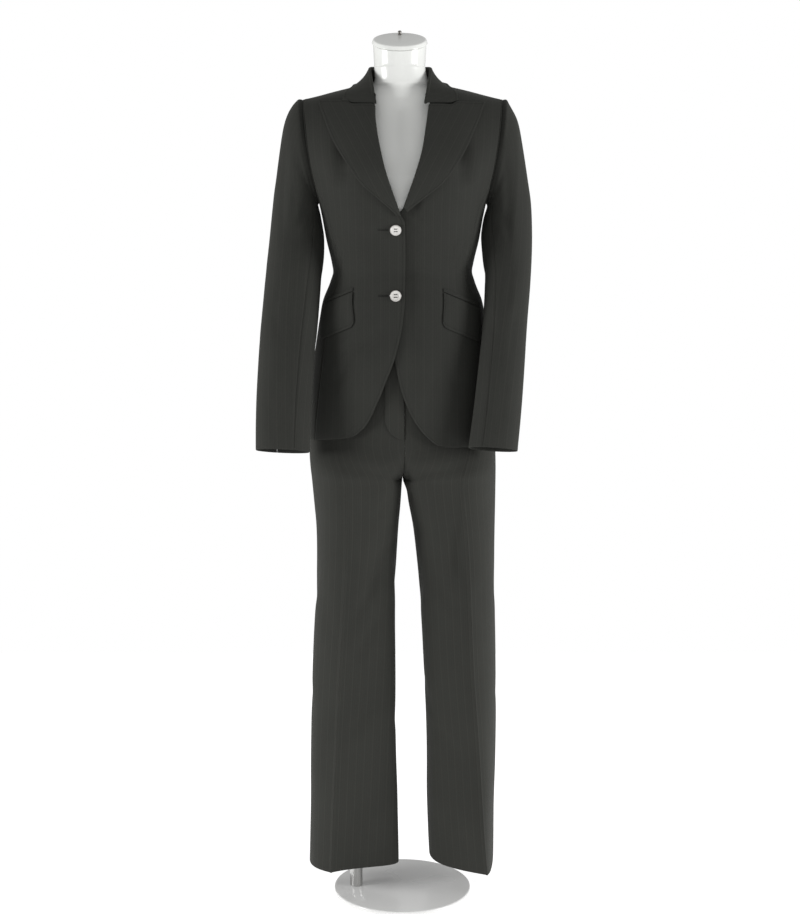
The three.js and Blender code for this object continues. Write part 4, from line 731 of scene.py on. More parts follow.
# Above the bust: degrees round the armhole, then y and z at the middle and of the row's two handles.
FRONT_ROWS = [
    (125, (-124, 1350), (-131, 1349), (-118, 1345)), (90, (-109, 1400), (-113, 1399), (-100, 1397)),
    (60, (-84, 1455), (-86, 1453), (-74, 1447)), (30, (-44, 1500), (-46, 1496), (-41, 1486)),
    (0, (6, 1528.5), (5, 1513), (4, 1498)),
]
BACK_ROWS = [
    (238, (0, 109, 1350), (109, 1350), (104, 1347)), (270, (0, 110, 1405), (110, 1404), (104, 1399)),
    (300, (0, 101, 1455), (101, 1453), (92, 1448)), (330, (0, 75.5, 1500), (78, 1499), (66, 1488)),
    (345, (44, 52, 1504), (50, 1501), (38, 1491)), (360, (68, 5, 1511), (4.5, 1502), (3, 1492)),
]
# Distance of each front edge from the middle at a height.
EDGE = {
    "right": smooth_rows([
        [886, 103], [890.5, 89], [905, 71], [922.5, 58], [949.5, 46], [967, 38], [993, 28], [1020, 17],
        [1050, 8.5], [1084, 1], [1133, -4], [1267, -4], [1283, 3], [1344, 25], [1389, 37], [1440, 46],
        [1480, 48], [1490, 52], [1500, 59], [1511, 68],
    ]),
    "left": smooth_rows([
        [871, 83], [876.5, 62], [887, 48], [901.5, 34], [922.5, 19], [949.5, 6], [975.5, -3], [1011, -11],
        [1045, -18], [1098, -28], [1262, -28], [1283, -8], [1293, 0], [1344, 19], [1391, 33], [1440, 41],
        [1480, 46], [1490, 51], [1500, 59], [1511, 68],
    ]),
}
UNDER = {"from": 36, "to": 16, "depth": 5.5, "top": 1330, "fade": 40}  # the left front sinks under the right
BREAK = {"right": 1281, "left": 1294}  # height from which a front turns back as its lapel
FOLD_IN = 2.6  # a front stops this far short of its lapel's fold
JACKET_FOLDS = [
    ("front", -37, 1080, -124, 973, 11, -3.0, 5), ("front", -60, 1092, -118, 1046, 9, 1.2, -3),
    ("front", -106, 1222, -113, 1150, 1.8, -1.5, 0), ("front", 89, 1226, 95, 1150, 1.8, -1.5, 0),
    ("front", -128, 1240, -110, 1214, 3.6, -1.5, 1), ("front", -121, 1226, -108, 1196, 3.0, -1.2, -1),
    ("front", -113, 1243, -105, 1219, 3.0, 1.0, 0), ("front", 122, 1246, 99, 1217, 3.6, -1.6, -1),
    ("front", 112, 1228, 97, 1200, 3.0, -1.2, 1), ("front", 105, 1246, 94, 1222, 3.0, 1.0, 0),
    ("front", -72, 914, -76, 872, 4, -0.9, 1), ("front", -60, 930, -66, 890, 4, 0.8, 0),
    ("front", -84, 926, -90, 880, 5, -0.8, 1), ("front", -104, 1412, -110, 1342, 17, -9.0, -4),
    ("front", 102, 1408, 113, 1342, 16, -8.0, 4), ("front", -142, 1350, -124, 1288, 9, -1.6, 2),
    ("front", 144, 1352, 126, 1290, 9, -1.7, -2), ("front", 30, 1196, 62, 1164, 8, -1.0, 2),
    ("front", -34, 1196, -70, 1160, 8, -1.1, -2), ("front", 44, 1060, 92, 980, 11, -1.5, -4),
    ("front", -96, 1130, -58, 1162, 7, -0.9, 2), ("front", 60, 1010, 44, 920, 8, -0.9, 2),
    ("back", 0, 1420, 0, 880, 1.4, -0.6, 0), ("back", 70, 1480, 128, 1400, 15, -2.2, -4),
    ("back", -74, 1478, -130, 1398, 15, -2.4, 4), ("back", 40, 1200, 92, 1176, 8, -1.6, 2),
    ("back", -36, 1196, -90, 1170, 8, -1.5, -2), ("back", 24, 1166, 80, 1150, 7, -1.1, 1),
    ("back", -20, 1160, -76, 1142, 7, -1.2, -1), ("back", 84, 1090, 108, 960, 12, -1.6, 3),
    ("back", -90, 1080, -112, 940, 12, -1.5, -3), ("back", 30, 1030, 44, 900, 11, -1.0, 1),
    ("back", -34, 1020, -46, 890, 11, -1.1, 0), ("right", -50, 1190, 20, 1172, 9, -1.4, 2),
    ("right", 10, 1100, 40, 940, 13, -1.3, 2), ("left", -46, 1188, 22, 1168, 9, -1.4, -2),
    ("left", 14, 1096, 34, 950, 13, -1.4, 1), ("right", 30, 1330, 46, 1250, 10, -1.3, 1),
    ("left", 28, 1330, 44, 1246, 10, -1.3, 1),
]


def front_quarter(z):
    b = BODY(z)
    crown = BUST["out"] * np.exp(-(((z - BUST["z"]) / BUST["reach"]) ** 2))
    return [point(0, -b["front"], z), point(b["half"] * b["full_front"], -b["front"] - crown, z),
            point(b["half"], -b["front"] * b["full_side"], z), point(b["half"], 0, z)]


def back_quarter(z):
    b = BODY(z)
    return [point(b["half"], 0, z), point(b["half"], b["back"] * b["full_side"], z),
            point(b["half"] * b["full_front"], b["back"], z), point(0, b["back"], z)]


def body_point(z, around):
    """A point round one side: around is 0 at the centre front, 1 at the side, 2 at the centre back."""
    z, around = np.broadcast_arrays(np.asarray(z, float), np.asarray(around, float))
    ahead = bezier(front_quarter(z), np.clip(np.abs(around), 0, 1))
    behind = bezier(back_quarter(z), np.clip(around - 1, 0, 1))
    found = np.where((around <= 1)[..., None], ahead, behind)
    found[..., 0] *= np.where(around < 0, -1, 1)
    return found


def armhole(degrees):
    """The armhole's ring: 0 at the shoulder tip, growing over the front, 180 at the armpit."""
    turn = np.radians(degrees)
    c, s = np.cos(turn), np.sin(turn)
    depth = np.where(s > 0, ARMHOLE["front"], ARMHOLE["back"])
    return point(mix(ARMHOLE["bottom"], ARMHOLE["top"], (1 + c) / 2) + ARMHOLE["bow"] * s * s,
                 ARMHOLE["y"] * (1 + c) / 2 - depth * s * (1 - ARMHOLE["scoop"] * c),
                 ARMHOLE["middle"] + ARMHOLE["rise"] * c)


def up_to_armhole(around, degrees, t):
    """From the body at LOWER up to the armhole, for one place round the side."""
    start, end = body_point(LOWER, around), armhole(degrees)
    rise = (end[..., 2] - LOWER)[..., None]
    slope = (start - body_point(LOWER - 1, around)) * rise
    lean = np.concatenate([(end - start)[..., :2] * 0.8, rise], -1)
    return hermite(start, end, slope, lean, np.asarray(t, float)[..., None])


def first_part(arc, t):
    a, b, c = (mix(arc[i], arc[i + 1], t) for i in range(3))
    d, e = mix(a, b, t), mix(b, c, t)
    return [arc[0], a, d, mix(d, e, t)]


BODY_LEVELS = [840, 905, 960, 1015, 1055, 1090, 1127, 1160, 1185, 1235, LOWER]
front_handles = smooth_rows(
    [[z, *np.concatenate(first_part(front_quarter(z), FRONT_SEAM)[:3])] for z in BODY_LEVELS]
    + [[JOIN + (ARMPIT_FRONT - deg) * LEVEL_PER_DEGREE, 0, *start, armhole(deg)[0] * 0.34, *one,
        armhole(deg)[0] * 0.7, *two] for deg, start, one, two in FRONT_ROWS])
back_handles = smooth_rows(
    [[z, *np.concatenate(first_part(back_quarter(z)[::-1], 2 - BACK_SEAM)[:3])] for z in BODY_LEVELS]
    + [[JOIN + (deg - ARMPIT_BACK) * LEVEL_PER_DEGREE, *end, mix(end[0], armhole(deg)[0], 0.34), *one,
        mix(end[0], armhole(deg)[0], 0.7), *two] for deg, end, one, two in BACK_ROWS])


def panel_end(level, seam, armpit, turn):
    """The end of a front's or back's row: on its side seam, and round the armhole above the join."""
    body = body_point(np.minimum(level, LOWER), seam)
    rising = up_to_armhole(seam, armpit, np.clip((level - LOWER) / (JOIN - LOWER), 0, 1))
    ring = armhole(armpit + turn * np.maximum(level - JOIN, 0) / LEVEL_PER_DEGREE)
    found = np.where((level > LOWER)[..., None], rising, body)
    return np.where((level >= JOIN)[..., None], ring, found)


def front_point(level, across):
    """A point of a front: across is 0 at the middle, 1 at the seam or armhole, below 0 past the middle."""
    level, across = np.broadcast_arrays(np.asarray(level, float), np.asarray(across, float))
    handles = front_handles(level)
    arc = [handles[..., :3], handles[..., 3:6], handles[..., 6:9], panel_end(level, FRONT_SEAM, ARMPIT_FRONT, -1)]
    found = bezier(arc, np.abs(across))
    found[..., 0] *= np.where(across < 0, -1, 1)
    return found


def back_point(level, across):
    level, across = np.broadcast_arrays(np.asarray(level, float), np.asarray(across, float))
    handles = back_handles(level)
    start = handles[..., :3].copy()
    start[..., 0] = np.maximum(start[..., 0], 0)
    arc = [start, handles[..., 3:6], handles[..., 6:9], panel_end(level, BACK_SEAM, ARMPIT_BACK, 1)]
    return bezier(arc, across)


def edge_across(side, levels, inward=0.0):
    """Where a front's edge lies on its row."""
    z = np.minimum(levels, 1511.0)
    for _ in range(8):
        x = EDGE[side](z)[..., 0] + inward
        reach = solve(lambda s: front_point(levels, s)[..., 0], np.abs(x), 0, 1)
        across = np.where(x < 0, -reach, reach)
        z = front_point(levels, across)[..., 2]
    return across


def shoulder_seam(t):
    return mix(NECK_POINT, armhole(0.0), np.asarray(t, float)[..., None])


def mirrored(grid, sign):
    return grid * np.array([sign, 1, 1])


def hem_drop(side, level, height):
    """How far a row lies below its level where the hem is at a height."""
    hem = HEM_JACKET[side]
    return (height - hem) * np.maximum((HEM_FADE - level) / (HEM_FADE - hem), 0)


def body_levels(hem):
    close = hem + np.array([0, 0.6, 1.4, 2.4, 3.6, 5, 7, 9.5, 12.5, 16, 20])
    return np.concatenate([close, np.arange(hem + 24.5, LOWER, 4.5), [LOWER]])


suit_wool = worsted("suit_wool_jacket", (0.0305, 0.0312, 0.0278), 0.105, 900)
JOIN_SHARES = spread(15, 70, (1, 2.4))[1:]
front_sides = {}
for side, sign in SIGN.items():
    levels = np.concatenate([body_levels(HEM_JACKET[side]), mix(LOWER, JOIN, JOIN_SHARES),
                             mix(JOIN, SHOULDER_LEVEL, spread(42, 188)[1:])])
    inward = FOLD_IN * ease((levels - BREAK[side] + 12) / 24) * ease((1500 - levels) / 30)
    start = edge_across(side, levels, inward)
    shares = spread(46, 165, (0.45, 1.2, 2.4, 4, 5.5))
    across = start[:, None] + (1 - start[:, None]) * shares
    drop = hem_drop(side, levels, HEM_SIDE[side])
    front = front_point(levels[:, None] + drop[:, None] * shares, across)
    top = np.clip((levels - FRONT_SHOULDER_BLEND) / (SHOULDER_LEVEL - FRONT_SHOULDER_BLEND), 0, 1)[:, None, None]
    front = front + top**2 * (shoulder_seam(shares) - front[-1])
    if side == "left":
        near = ease((UNDER["from"] - front[..., 0]) / (UNDER["from"] - UNDER["to"]))
        front[..., 1] += UNDER["depth"] * near * ease((UNDER["top"] - front[..., 2]) / UNDER["fade"])
    cut = np.stack([lengths(front, 1) + front[:, :1, 0], front[..., 2]], -1)
    front_sides[side] = cloth_piece(
        f"cloth_front_{side}", mirrored(front, sign), f"jacket_front_{side}", cut,
        {"bottom": "free", "start": "free", "end": "seam", "top": "seam"}, suit_wool, flip=sign < 0,
        folds=JACKET_FOLDS)

    low = body_levels(HEM_JACKET[side])
    around = mix(FRONT_SEAM, BACK_SEAM, spread(30, 130))
    degrees = np.interp(spread(30, 130) * 7, np.arange(8), [125, 142, 158, 172, 188, 204, 221, 238])
    panel = np.concatenate([
        body_point((low + hem_drop(side, low, HEM_SIDE[side]))[:, None], around),
        up_to_armhole(around, degrees, np.broadcast_to(JOIN_SHARES[:, None], (len(JOIN_SHARES), len(around)))),
    ])
    across = lengths(panel, 1)
    cut = np.stack([across - across[:, -1:] / 2, panel[..., 2]], -1)
    cloth_piece(f"cloth_side_{side}", mirrored(panel, sign), f"jacket_side_{side}", cut,
                {"bottom": "free", "start": "seam", "end": "seam", "top": "seam"}, suit_wool, flip=sign < 0,
                folds=JACKET_FOLDS)

    levels = np.concatenate([low, mix(LOWER, JOIN, JOIN_SHARES), mix(JOIN, BACK_TOP_LEVEL, spread(42, 183)[1:])])
    shares = spread(44, 150)[::-1]
    at_side, at_centre = (hem_drop(side, levels, z)[:, None] for z in (HEM_SIDE[side], HEM_JACKET["centre_back"]))
    back = back_point(levels[:, None] + mix(at_centre, at_side, shares), shares)
    blend = 15 * LEVEL_PER_DEGREE
    top = np.clip((levels - BACK_TOP_LEVEL + blend) / blend, 0, 1)[:, None, None]
    back = back + top**2 * (shoulder_seam(shares) - back[-1])
    across = lengths(back, 1)
    cut = np.stack([across - across[:, -1:], back[..., 2]], -1)
    cloth_piece(f"cloth_back_{side}", mirrored(back, sign), f"jacket_back_{side}", cut,
                {"bottom": "free", "start": "seam", "end": "seam", "top": "seam"}, suit_wool, flip=sign < 0,
                folds=JACKET_FOLDS)

# ---------------------------------------------------------------- pocket flaps and jettings
# A slanted pocket on each front: a jetting bound over the opening, and under it a lined flap with
# rounded lower corners, its stripes matched to the front's.
FLAP = {
    "right": {"top_in": (87.5, 1146), "top_out": (142, 1120), "low_in": (83.5, 1087), "low_out": (148, 1057)},
    "left": {"top_in": (72, 1145), "top_out": (139, 1114), "low_in": (69, 1086), "low_out": (139, 1054)},
}
FLAP_LIFT, FLAP_TALL, FLAP_ROUND = 2.7, 56, 0.12
JET = {"high": 6, "gap": 1.5, "lift": 2.1, "thick": 1.3}


def over_body(z, around, lift):
    """A point on the body, and how far round it lies from the middle."""
    out = np.cross(body_point(z, around + 0.01) - body_point(z, around - 0.01),
                   body_point(z + 1, around) - body_point(z - 1, around))
    out /= np.linalg.norm(out, axis=-1, keepdims=True)
    run = body_point(z[..., None], around[..., None] * np.linspace(0, 1, 20))
    return body_point(z, around) + out * lift, lengths(run, run.ndim - 2)[..., -1]


def flap_depth(q):
    """How much of its depth a flap has at a share of its length: less at its rounded corners."""
    corner = np.clip(np.minimum(q, 1 - q) / FLAP_ROUND, 0, 1)
    return 1 - 0.22 * (1 - np.sqrt(1 - (1 - corner) ** 2))


flap_sides = {}
for side, sign in SIGN.items():
    places = {name: (solve(lambda a, z=z: body_point(z, a)[..., 0], x, 0, 1), z)
              for name, (x, z) in FLAP[side].items()}

    def on_flap(q, depth, lift):
        edges = []
        for start, end in ((places["top_in"], places["top_out"]), (places["low_in"], places["low_out"])):
            around = mix(start[0], end[0], q)
            x = body_point(mix(start[1], end[1], q), around)[..., 0]
            ends = [float(body_point(z, a)[..., 0]) for a, z in (start, end)]
            edges.append((around, mix(start[1], end[1], (x - ends[0]) / (ends[1] - ends[0]))))
        around, z = (mix(edges[0][k], edges[1][k], depth) for k in (0, 1))
        grid, run = over_body(z, around, lift)
        return grid, np.stack([run, z], -1)

    along = spread(34, 60, (0.4, 1.0, 2.0, 3.2, 5))[None, :]
    down = spread(26, FLAP_TALL, (0.4, 1.0, 2.0, 3.4, 5))[::-1][:, None]
    bulge = 1.0 * np.sin(np.pi * along) * np.sin(np.pi * down * 0.9)
    grid, cut = on_flap(along, down * flap_depth(along), FLAP_LIFT)
    flap_sides[side] = cloth_piece(
        f"cloth_flap_{side}", mirrored(grid, sign), f"flap_{side}", cut,
        {"bottom": "free", "top": "free", "start": "free", "end": "free"}, suit_wool, flip=sign < 0,
        extra=bulge, uneven=0.25)
    height = (JET["gap"] + JET["high"] * spread(6, 6, (0.4, 1.0)))[:, None]
    grid, cut = on_flap(along, -height / FLAP_TALL + 0 * along, JET["lift"])
    lip = 0.35 * np.cos((height - JET["gap"] - JET["high"] / 2) * 2 * np.pi / JET["high"] * 2) + 0 * along
    cloth_piece(f"cloth_jet_{side}", mirrored(grid, sign), f"jet_{side}", cut[..., ::-1],
                {"bottom": "free", "top": "free", "start": "free", "end": "free"}, suit_wool, flip=sign < 0,
                thickness=JET["thick"], extra=lip, uneven=0.0)

# ---------------------------------------------------------------- lapels
# Wide peaked lapels, which are the fronts turned back over a soft roll, so that the facing shows.
# They lie on the chest from the break up to the seam with the collar, and end in a peak.
# Each row: height of the roll line, then x and z of the outer edge; the last is the top edge.
LAPEL = {
    "right": [
        [0, 1280, 10, 1280], [1, 1291, 22, 1292], [2, 1310, 45, 1312], [3, 1335, 71, 1335], [4, 1366, 99, 1374],
        [5, 1400, 119, 1406], [6, 1440, 134, 1440], [7, 1477, 149, 1478],
    ],
    "left": [
        [0, 1294, 9, 1287], [1, 1302, 23, 1299], [2, 1316, 42, 1314], [3, 1338, 70, 1337], [4, 1366, 94, 1368],
        [5, 1400, 112, 1399], [6, 1440, 129, 1436], [7, 1477, 145, 1474],
    ],
}
# Share of the way from roll to edge, and height of the right side over the front.
LAPEL_LIFT = smooth_rows([[0, 4.8], [0.07, 5.6], [0.2, 5.7], [0.4, 5.2], [0.6, 4.8], [0.8, 4.7], [1, 4.6]])
LAPEL_FOLD = {"radius": 2.7, "middle": 1.9, "thick": 1.5}
LAPEL_ROWS = 7
GORGE = {"low": 6.5, "from": 0.36, "to": 0.5}  # the top edge lies lower next to the roll
STRIPE_LEAN = 28  # degrees between the upper outer edge, which the stripes follow, and the upright


def surface_at(x, z, panel):
    """The front's or back's point at x and z of the front view, and the way out of the cloth."""
    level, across = np.meshgrid(np.linspace(846, SHOULDER_LEVEL, 170), np.linspace(0.0, 1.0, 70), indexing="ij")
    known = panel(level, across)
    x, z = np.broadcast_arrays(np.abs(np.asarray(x, float)), np.asarray(z, float))
    level_at, across_at = np.empty(x.shape), np.empty(x.shape)
    for i in np.ndindex(x.shape):
        near = np.argmin((known[..., 0] - x[i]) ** 2 + (known[..., 2] - z[i]) ** 2)
        level_at[i], across_at[i] = level.flat[near], across.flat[near]
    for _ in range(9):
        found = panel(level_at, across_at)
        right = (panel(level_at, across_at + 0.004) - panel(level_at, across_at - 0.004)) / 0.008
        up = (panel(level_at + 1, across_at) - panel(level_at - 1, across_at)) / 2
        off_x, off_z = x - found[..., 0], z - found[..., 2]
        area = right[..., 0] * up[..., 2] - right[..., 2] * up[..., 0]
        area = np.where(np.abs(area) < 1, 1, area)
        step = np.clip((off_x * up[..., 2] - off_z * up[..., 0]) / area, -0.03, 0.03)
        across_at = np.clip(across_at + step, 0, 1.05)
        level_at = level_at + np.clip((right[..., 0] * off_z - right[..., 2] * off_x) / area, -6, 6)
        level_at = np.clip(level_at, 846, SHOULDER_LEVEL)
    out = np.cross(right, up) * (1 if panel is front_point else -1)
    out /= np.maximum(np.linalg.norm(out, axis=-1, keepdims=True), 1e-9)
    return found, out


def over_front(x, z, lift):
    """A point at a height over the front; x may lie past the middle."""
    found, out = surface_at(x, z, front_point)
    lifted = found + out * np.asarray(lift)[..., None]
    lifted[..., 0] *= np.where(np.asarray(x) < 0, -1, 1)
    return lifted


def gorge_sag(share):
    return GORGE["low"] * ease((GORGE["to"] - share) / (GORGE["to"] - GORGE["from"]))


lapel_sides = {}
for side, sign in SIGN.items():
    t = LAPEL_ROWS * spread(58, 250, (0.5, 1.3, 2.5, 4, 5.5))
    rows, t = smooth_rows(LAPEL[side])(t), t[:, None]
    roll_z, edge_x, edge_z = (rows[:, k:k + 1] for k in range(3))
    roll_x = EDGE[side](roll_z[:, 0])[:, :1] + FOLD_IN
    run = np.hypot(edge_x - roll_x, edge_z - roll_z)
    turn = np.radians(np.linspace(28, 168, 9))
    flat = spread(30, 100, (0.45, 1.2, 2.4, 4, 5.5))
    small = ease(run / 22)
    radius = LAPEL_FOLD["radius"] * mix(0.6, 1, small)
    share = np.concatenate([-radius * np.sin(turn) / run, np.broadcast_to(flat, (len(t), len(flat)))], 1)
    lift = np.concatenate([
        LAPEL_FOLD["middle"] - radius * np.cos(turn),
        np.broadcast_to(LAPEL_LIFT(flat)[:, 0], (len(t), len(flat))),
    ], 1)
    sag = gorge_sag(share) * np.maximum(t - LAPEL_ROWS + 1, 0)
    grid = over_front(mix(roll_x, edge_x, share), mix(roll_z, edge_z, share) - sag, lift)
    lean = math.radians(STRIPE_LEAN)
    x, z = grid[..., 0], grid[..., 2]
    cut = np.stack([x * math.cos(lean) - z * math.sin(lean), x * math.sin(lean) + z * math.cos(lean)], -1)
    thick = np.concatenate([np.full(len(turn), LAPEL_FOLD["thick"]), np.full(len(flat), CLOTH)])
    lapel_sides[side] = cloth_piece(
        f"cloth_lapel_{side}", mirrored(grid, sign), f"lapel_{side}", cut,
        {"top": "free", "end": "free", "bottom": "free"}, suit_wool, flip=sign < 0, uneven=0.3,
        thickness=thick)

# ---------------------------------------------------------------- collar
# The collar is cut in one: a stand that rises from the neck seam, a fold, and a leaf that falls
# back over the seam. It meets the lapels at the gorge and leaves a small notch before each peak.
# q runs from a front end to the centre back; d is the distance from the collar's middle plane.
COLLAR_X = -4
COLLAR = smooth_table("base_d base_y base_z fold_d fold_y fold_z edge_d edge_y edge_z", [
    [0, 41.7, -66.5, 1474.5, 41.5, -71, 1477, 102, -56, 1480.5], [0.2, 49, -46, 1494, 47, -44, 1507, 100, -40, 1492],
    [0.4, 57, -18, 1508, 50.5, -16, 1528, 88, -13, 1504], [0.55, 59, 6, 1512, 51, 8, 1537, 81, 12, 1507],
    [0.75, 48, 42, 1508, 42.5, 39, 1540, 69, 54, 1503], [0.9, 23, 57, 1502.5, 22, 56, 1542, 34, 80, 1492],
    [1, 0, 62, 1500.5, 0, 60, 1542, 0, 87, 1488],
])
COLLAR_FOLD = 3.0  # radius
COLLAR_LIFT, COLLAR_SAG, COLLAR_TOP = 4.2, 3.0, 1505
COLLAR_END = {"gap": 1.2, "fade": 0.16}  # its front end follows the lapel's top edge


def clear_of_body(points):
    """Lifts points of the leaf clear of the front or the back under them."""
    for panel, here in ((front_point, points[..., 1] < NECK_POINT[1]), (back_point, points[..., 1] >= NECK_POINT[1])):
        chosen = points[here]
        if not len(chosen):
            continue
        under, out = surface_at(chosen[:, 0], np.minimum(chosen[:, 2], COLLAR_TOP), panel)
        mirror = np.where(chosen[:, :1] < 0, -1, 1) * np.array([1, 0, 0]) + np.array([0, 1, 1])
        under, out = under * mirror, out * mirror
        height = ((chosen - under) * out).sum(-1)
        points[here] = chosen + out * np.maximum(COLLAR_LIFT - height, 0)[:, None]
    return points


def down_to_gorge(points, nearness, side):
    """Brings the leaf near its front end down to the lapel's top edge."""
    roll_z, edge_x, edge_z = LAPEL[side][-1][1:]
    roll_x = EDGE[side](roll_z)[..., 0] + FOLD_IN
    near = np.broadcast_to(nearness, points.shape[:-1]) > 0
    chosen = points[near]
    share = np.maximum((np.abs(chosen[:, 0]) - roll_x) / (edge_x - roll_x), 0)
    top = mix(roll_z, edge_z, share) - gorge_sag(share)
    gorge = over_front(np.abs(chosen[:, 0]), top, np.full(len(share), COLLAR_LIFT))
    weight = np.broadcast_to(nearness, points.shape[:-1])[near]
    chosen[:, 2] = mix(chosen[:, 2], gorge[:, 2] + COLLAR_END["gap"], weight)
    points[near] = chosen
    return points


def collar_half(q, sign):
    """Rows of one side of the collar: stand, fold and leaf."""
    c = COLLAR(q)
    base, fold, edge = (point(COLLAR_X + sign * c[k + "_d"], c[k + "_y"], c[k + "_z"])
                        for k in ("base", "fold", "edge"))
    outward = (edge - fold) * np.array([1, 1, 0])
    outward /= np.linalg.norm(outward, axis=-1, keepdims=True)
    up = np.array([0, 0, 1.0])
    turn = np.radians(np.linspace(0, 180, 9))[:, None, None]
    arc = fold + outward * COLLAR_FOLD * (1 - np.cos(turn)) + up * COLLAR_FOLD * np.sin(turn)
    stand = mix(base, fold, np.linspace(0, 1, 7)[:-1, None, None])
    t = spread(20, 52, (0.45, 1.2, 2.4, 4, 5.5))[1:, None, None]
    over = arc[-1]
    leaf = mix(over, edge, t) - outward * COLLAR_SAG * np.sin(np.pi * t)
    nearness = ease(1 - q / COLLAR_END["fade"])
    leaf = clear_of_body(down_to_gorge(leaf, nearness, "right" if sign < 0 else "left"))
    arc = arc - np.array([0, 1.0, 0]) * COLLAR_FOLD * np.sin(turn) * nearness[:, None]
    arc = clear_of_body(down_to_gorge(arc, nearness, "right" if sign < 0 else "left"))
    return np.moveaxis(np.concatenate([stand, arc, leaf]), 0, 1)


stations = spread(46, 200, (0.5, 1.3, 2.5, 4))
collar_grid = np.concatenate([collar_half(stations[:-1], -1), collar_half(stations[::-1], 1)])
cut = np.stack([lengths(collar_grid, 0), lengths(collar_grid, 1)], -1)
collar_side = cloth_piece(
    "cloth_collar", collar_grid, "collar", cut,
    {"start": "free", "bottom": "free", "top": "free", "end": "free"}, suit_wool, flip=True, uneven=0.25)

# ---------------------------------------------------------------- sleeves
# Two-piece tailored sleeves: a wide top piece and a narrow under piece, sewn down the front and the
# back of the arm. The head is eased over a pad into the armhole, and the cuff hangs open and empty.
# A ring of a sleeve: its outer and inner points, its middle's y, half depth, and forward lean.
SLEEVE_NAMES = "outer_x outer_z inner_x inner_z y depth lean bow scoop"
SLEEVE = {
    "right": smooth_table(SLEEVE_NAMES, [
        [1, 184.5, 1482, 152.8, 1297, 3, 66, 0, 5, 0.12], [2, 196, 1472.5, 151.6, 1292, 3, 66.5, 0, 4, 0.09],
        [3, 208, 1450, 149.9, 1286, 3, 65, 0, 2, 0.06], [4, 217, 1415, 148, 1279, 2, 63, 0, 1, 0.03],
        [5, 224, 1372, 146, 1269, 1, 60.5, 1, 0, 0], [6, 230, 1328, 143.8, 1257, -1, 58, 3, 0, 0],
        [7, 235, 1282, 141, 1238, -5, 55.5, 6, 0, 0], [8, 240, 1228, 141, 1205, -14, 52, 9, 0, 0],
        [9, 246, 1170, 145.5, 1162, -29, 49, 12, 0, 0], [10, 251.5, 1102, 150.5, 1102, -50, 46, 15, 0, 0],
        [11, 256, 1037, 156, 1037, -72, 42, 15, 0, 0], [12, 259.5, 972, 160.5, 972, -91, 38, 14, 0, 0],
        [13, 260.5, 914, 163.5, 914, -105, 35.5, 14, 0, 0], [14, 260.5, 868, 165, 864, -114, 34, 14, 0, 0],
    ]),
    "left": smooth_table(SLEEVE_NAMES, [
        [1, 184.5, 1482, 152.8, 1297, 3, 66, 0, 5, 0.12], [2, 193.5, 1470.5, 152.7, 1292, 3, 66.5, 0, 4, 0.09],
        [3, 205.5, 1447, 151, 1286, 3, 65, 0, 3.5, 0.06], [4, 214, 1411, 149, 1281, 2, 63, 0, 2.5, 0.03],
        [5, 221.5, 1370, 146.3, 1271, 1, 60.5, 1, 1.5, 0], [6, 227.5, 1328, 143.8, 1257, -1, 58, 3, 0, 0],
        [7, 232, 1282, 142, 1238, -5, 55.5, 6, 0, 0], [8, 233, 1228, 144, 1205, -14, 52, 9, 0, 0],
        [9, 230, 1170, 147.5, 1162, -29, 49, 12, 0, 0], [10, 224, 1102, 144.5, 1102, -53, 46, 15, 0, 0],
        [11, 218.5, 1037, 137.5, 1037, -78, 42, 15, 0, 0], [12, 213.5, 972, 130, 972, -98, 38, 14, 0, 0],
        [13, 208.5, 914, 122.5, 914, -111, 35.5, 14, 0, 0], [14, 204, 867, 116.5, 873, -120, 34, 14, 0, 0],
    ]),
}
SLEEVE_SEAM = {"front": 142, "back": 255}  # degrees round the armhole
CUFF_SEAM = {"right": {"front": 117, "back": 285}, "left": {"front": 117, "back": 322}}
SLEEVE_STEPS = 14
HEAD_GAP = 0.66
ROPED = {"high": 1.7, "below": 9, "wide": 6}  # the raised line of the sleeve head, below its seam
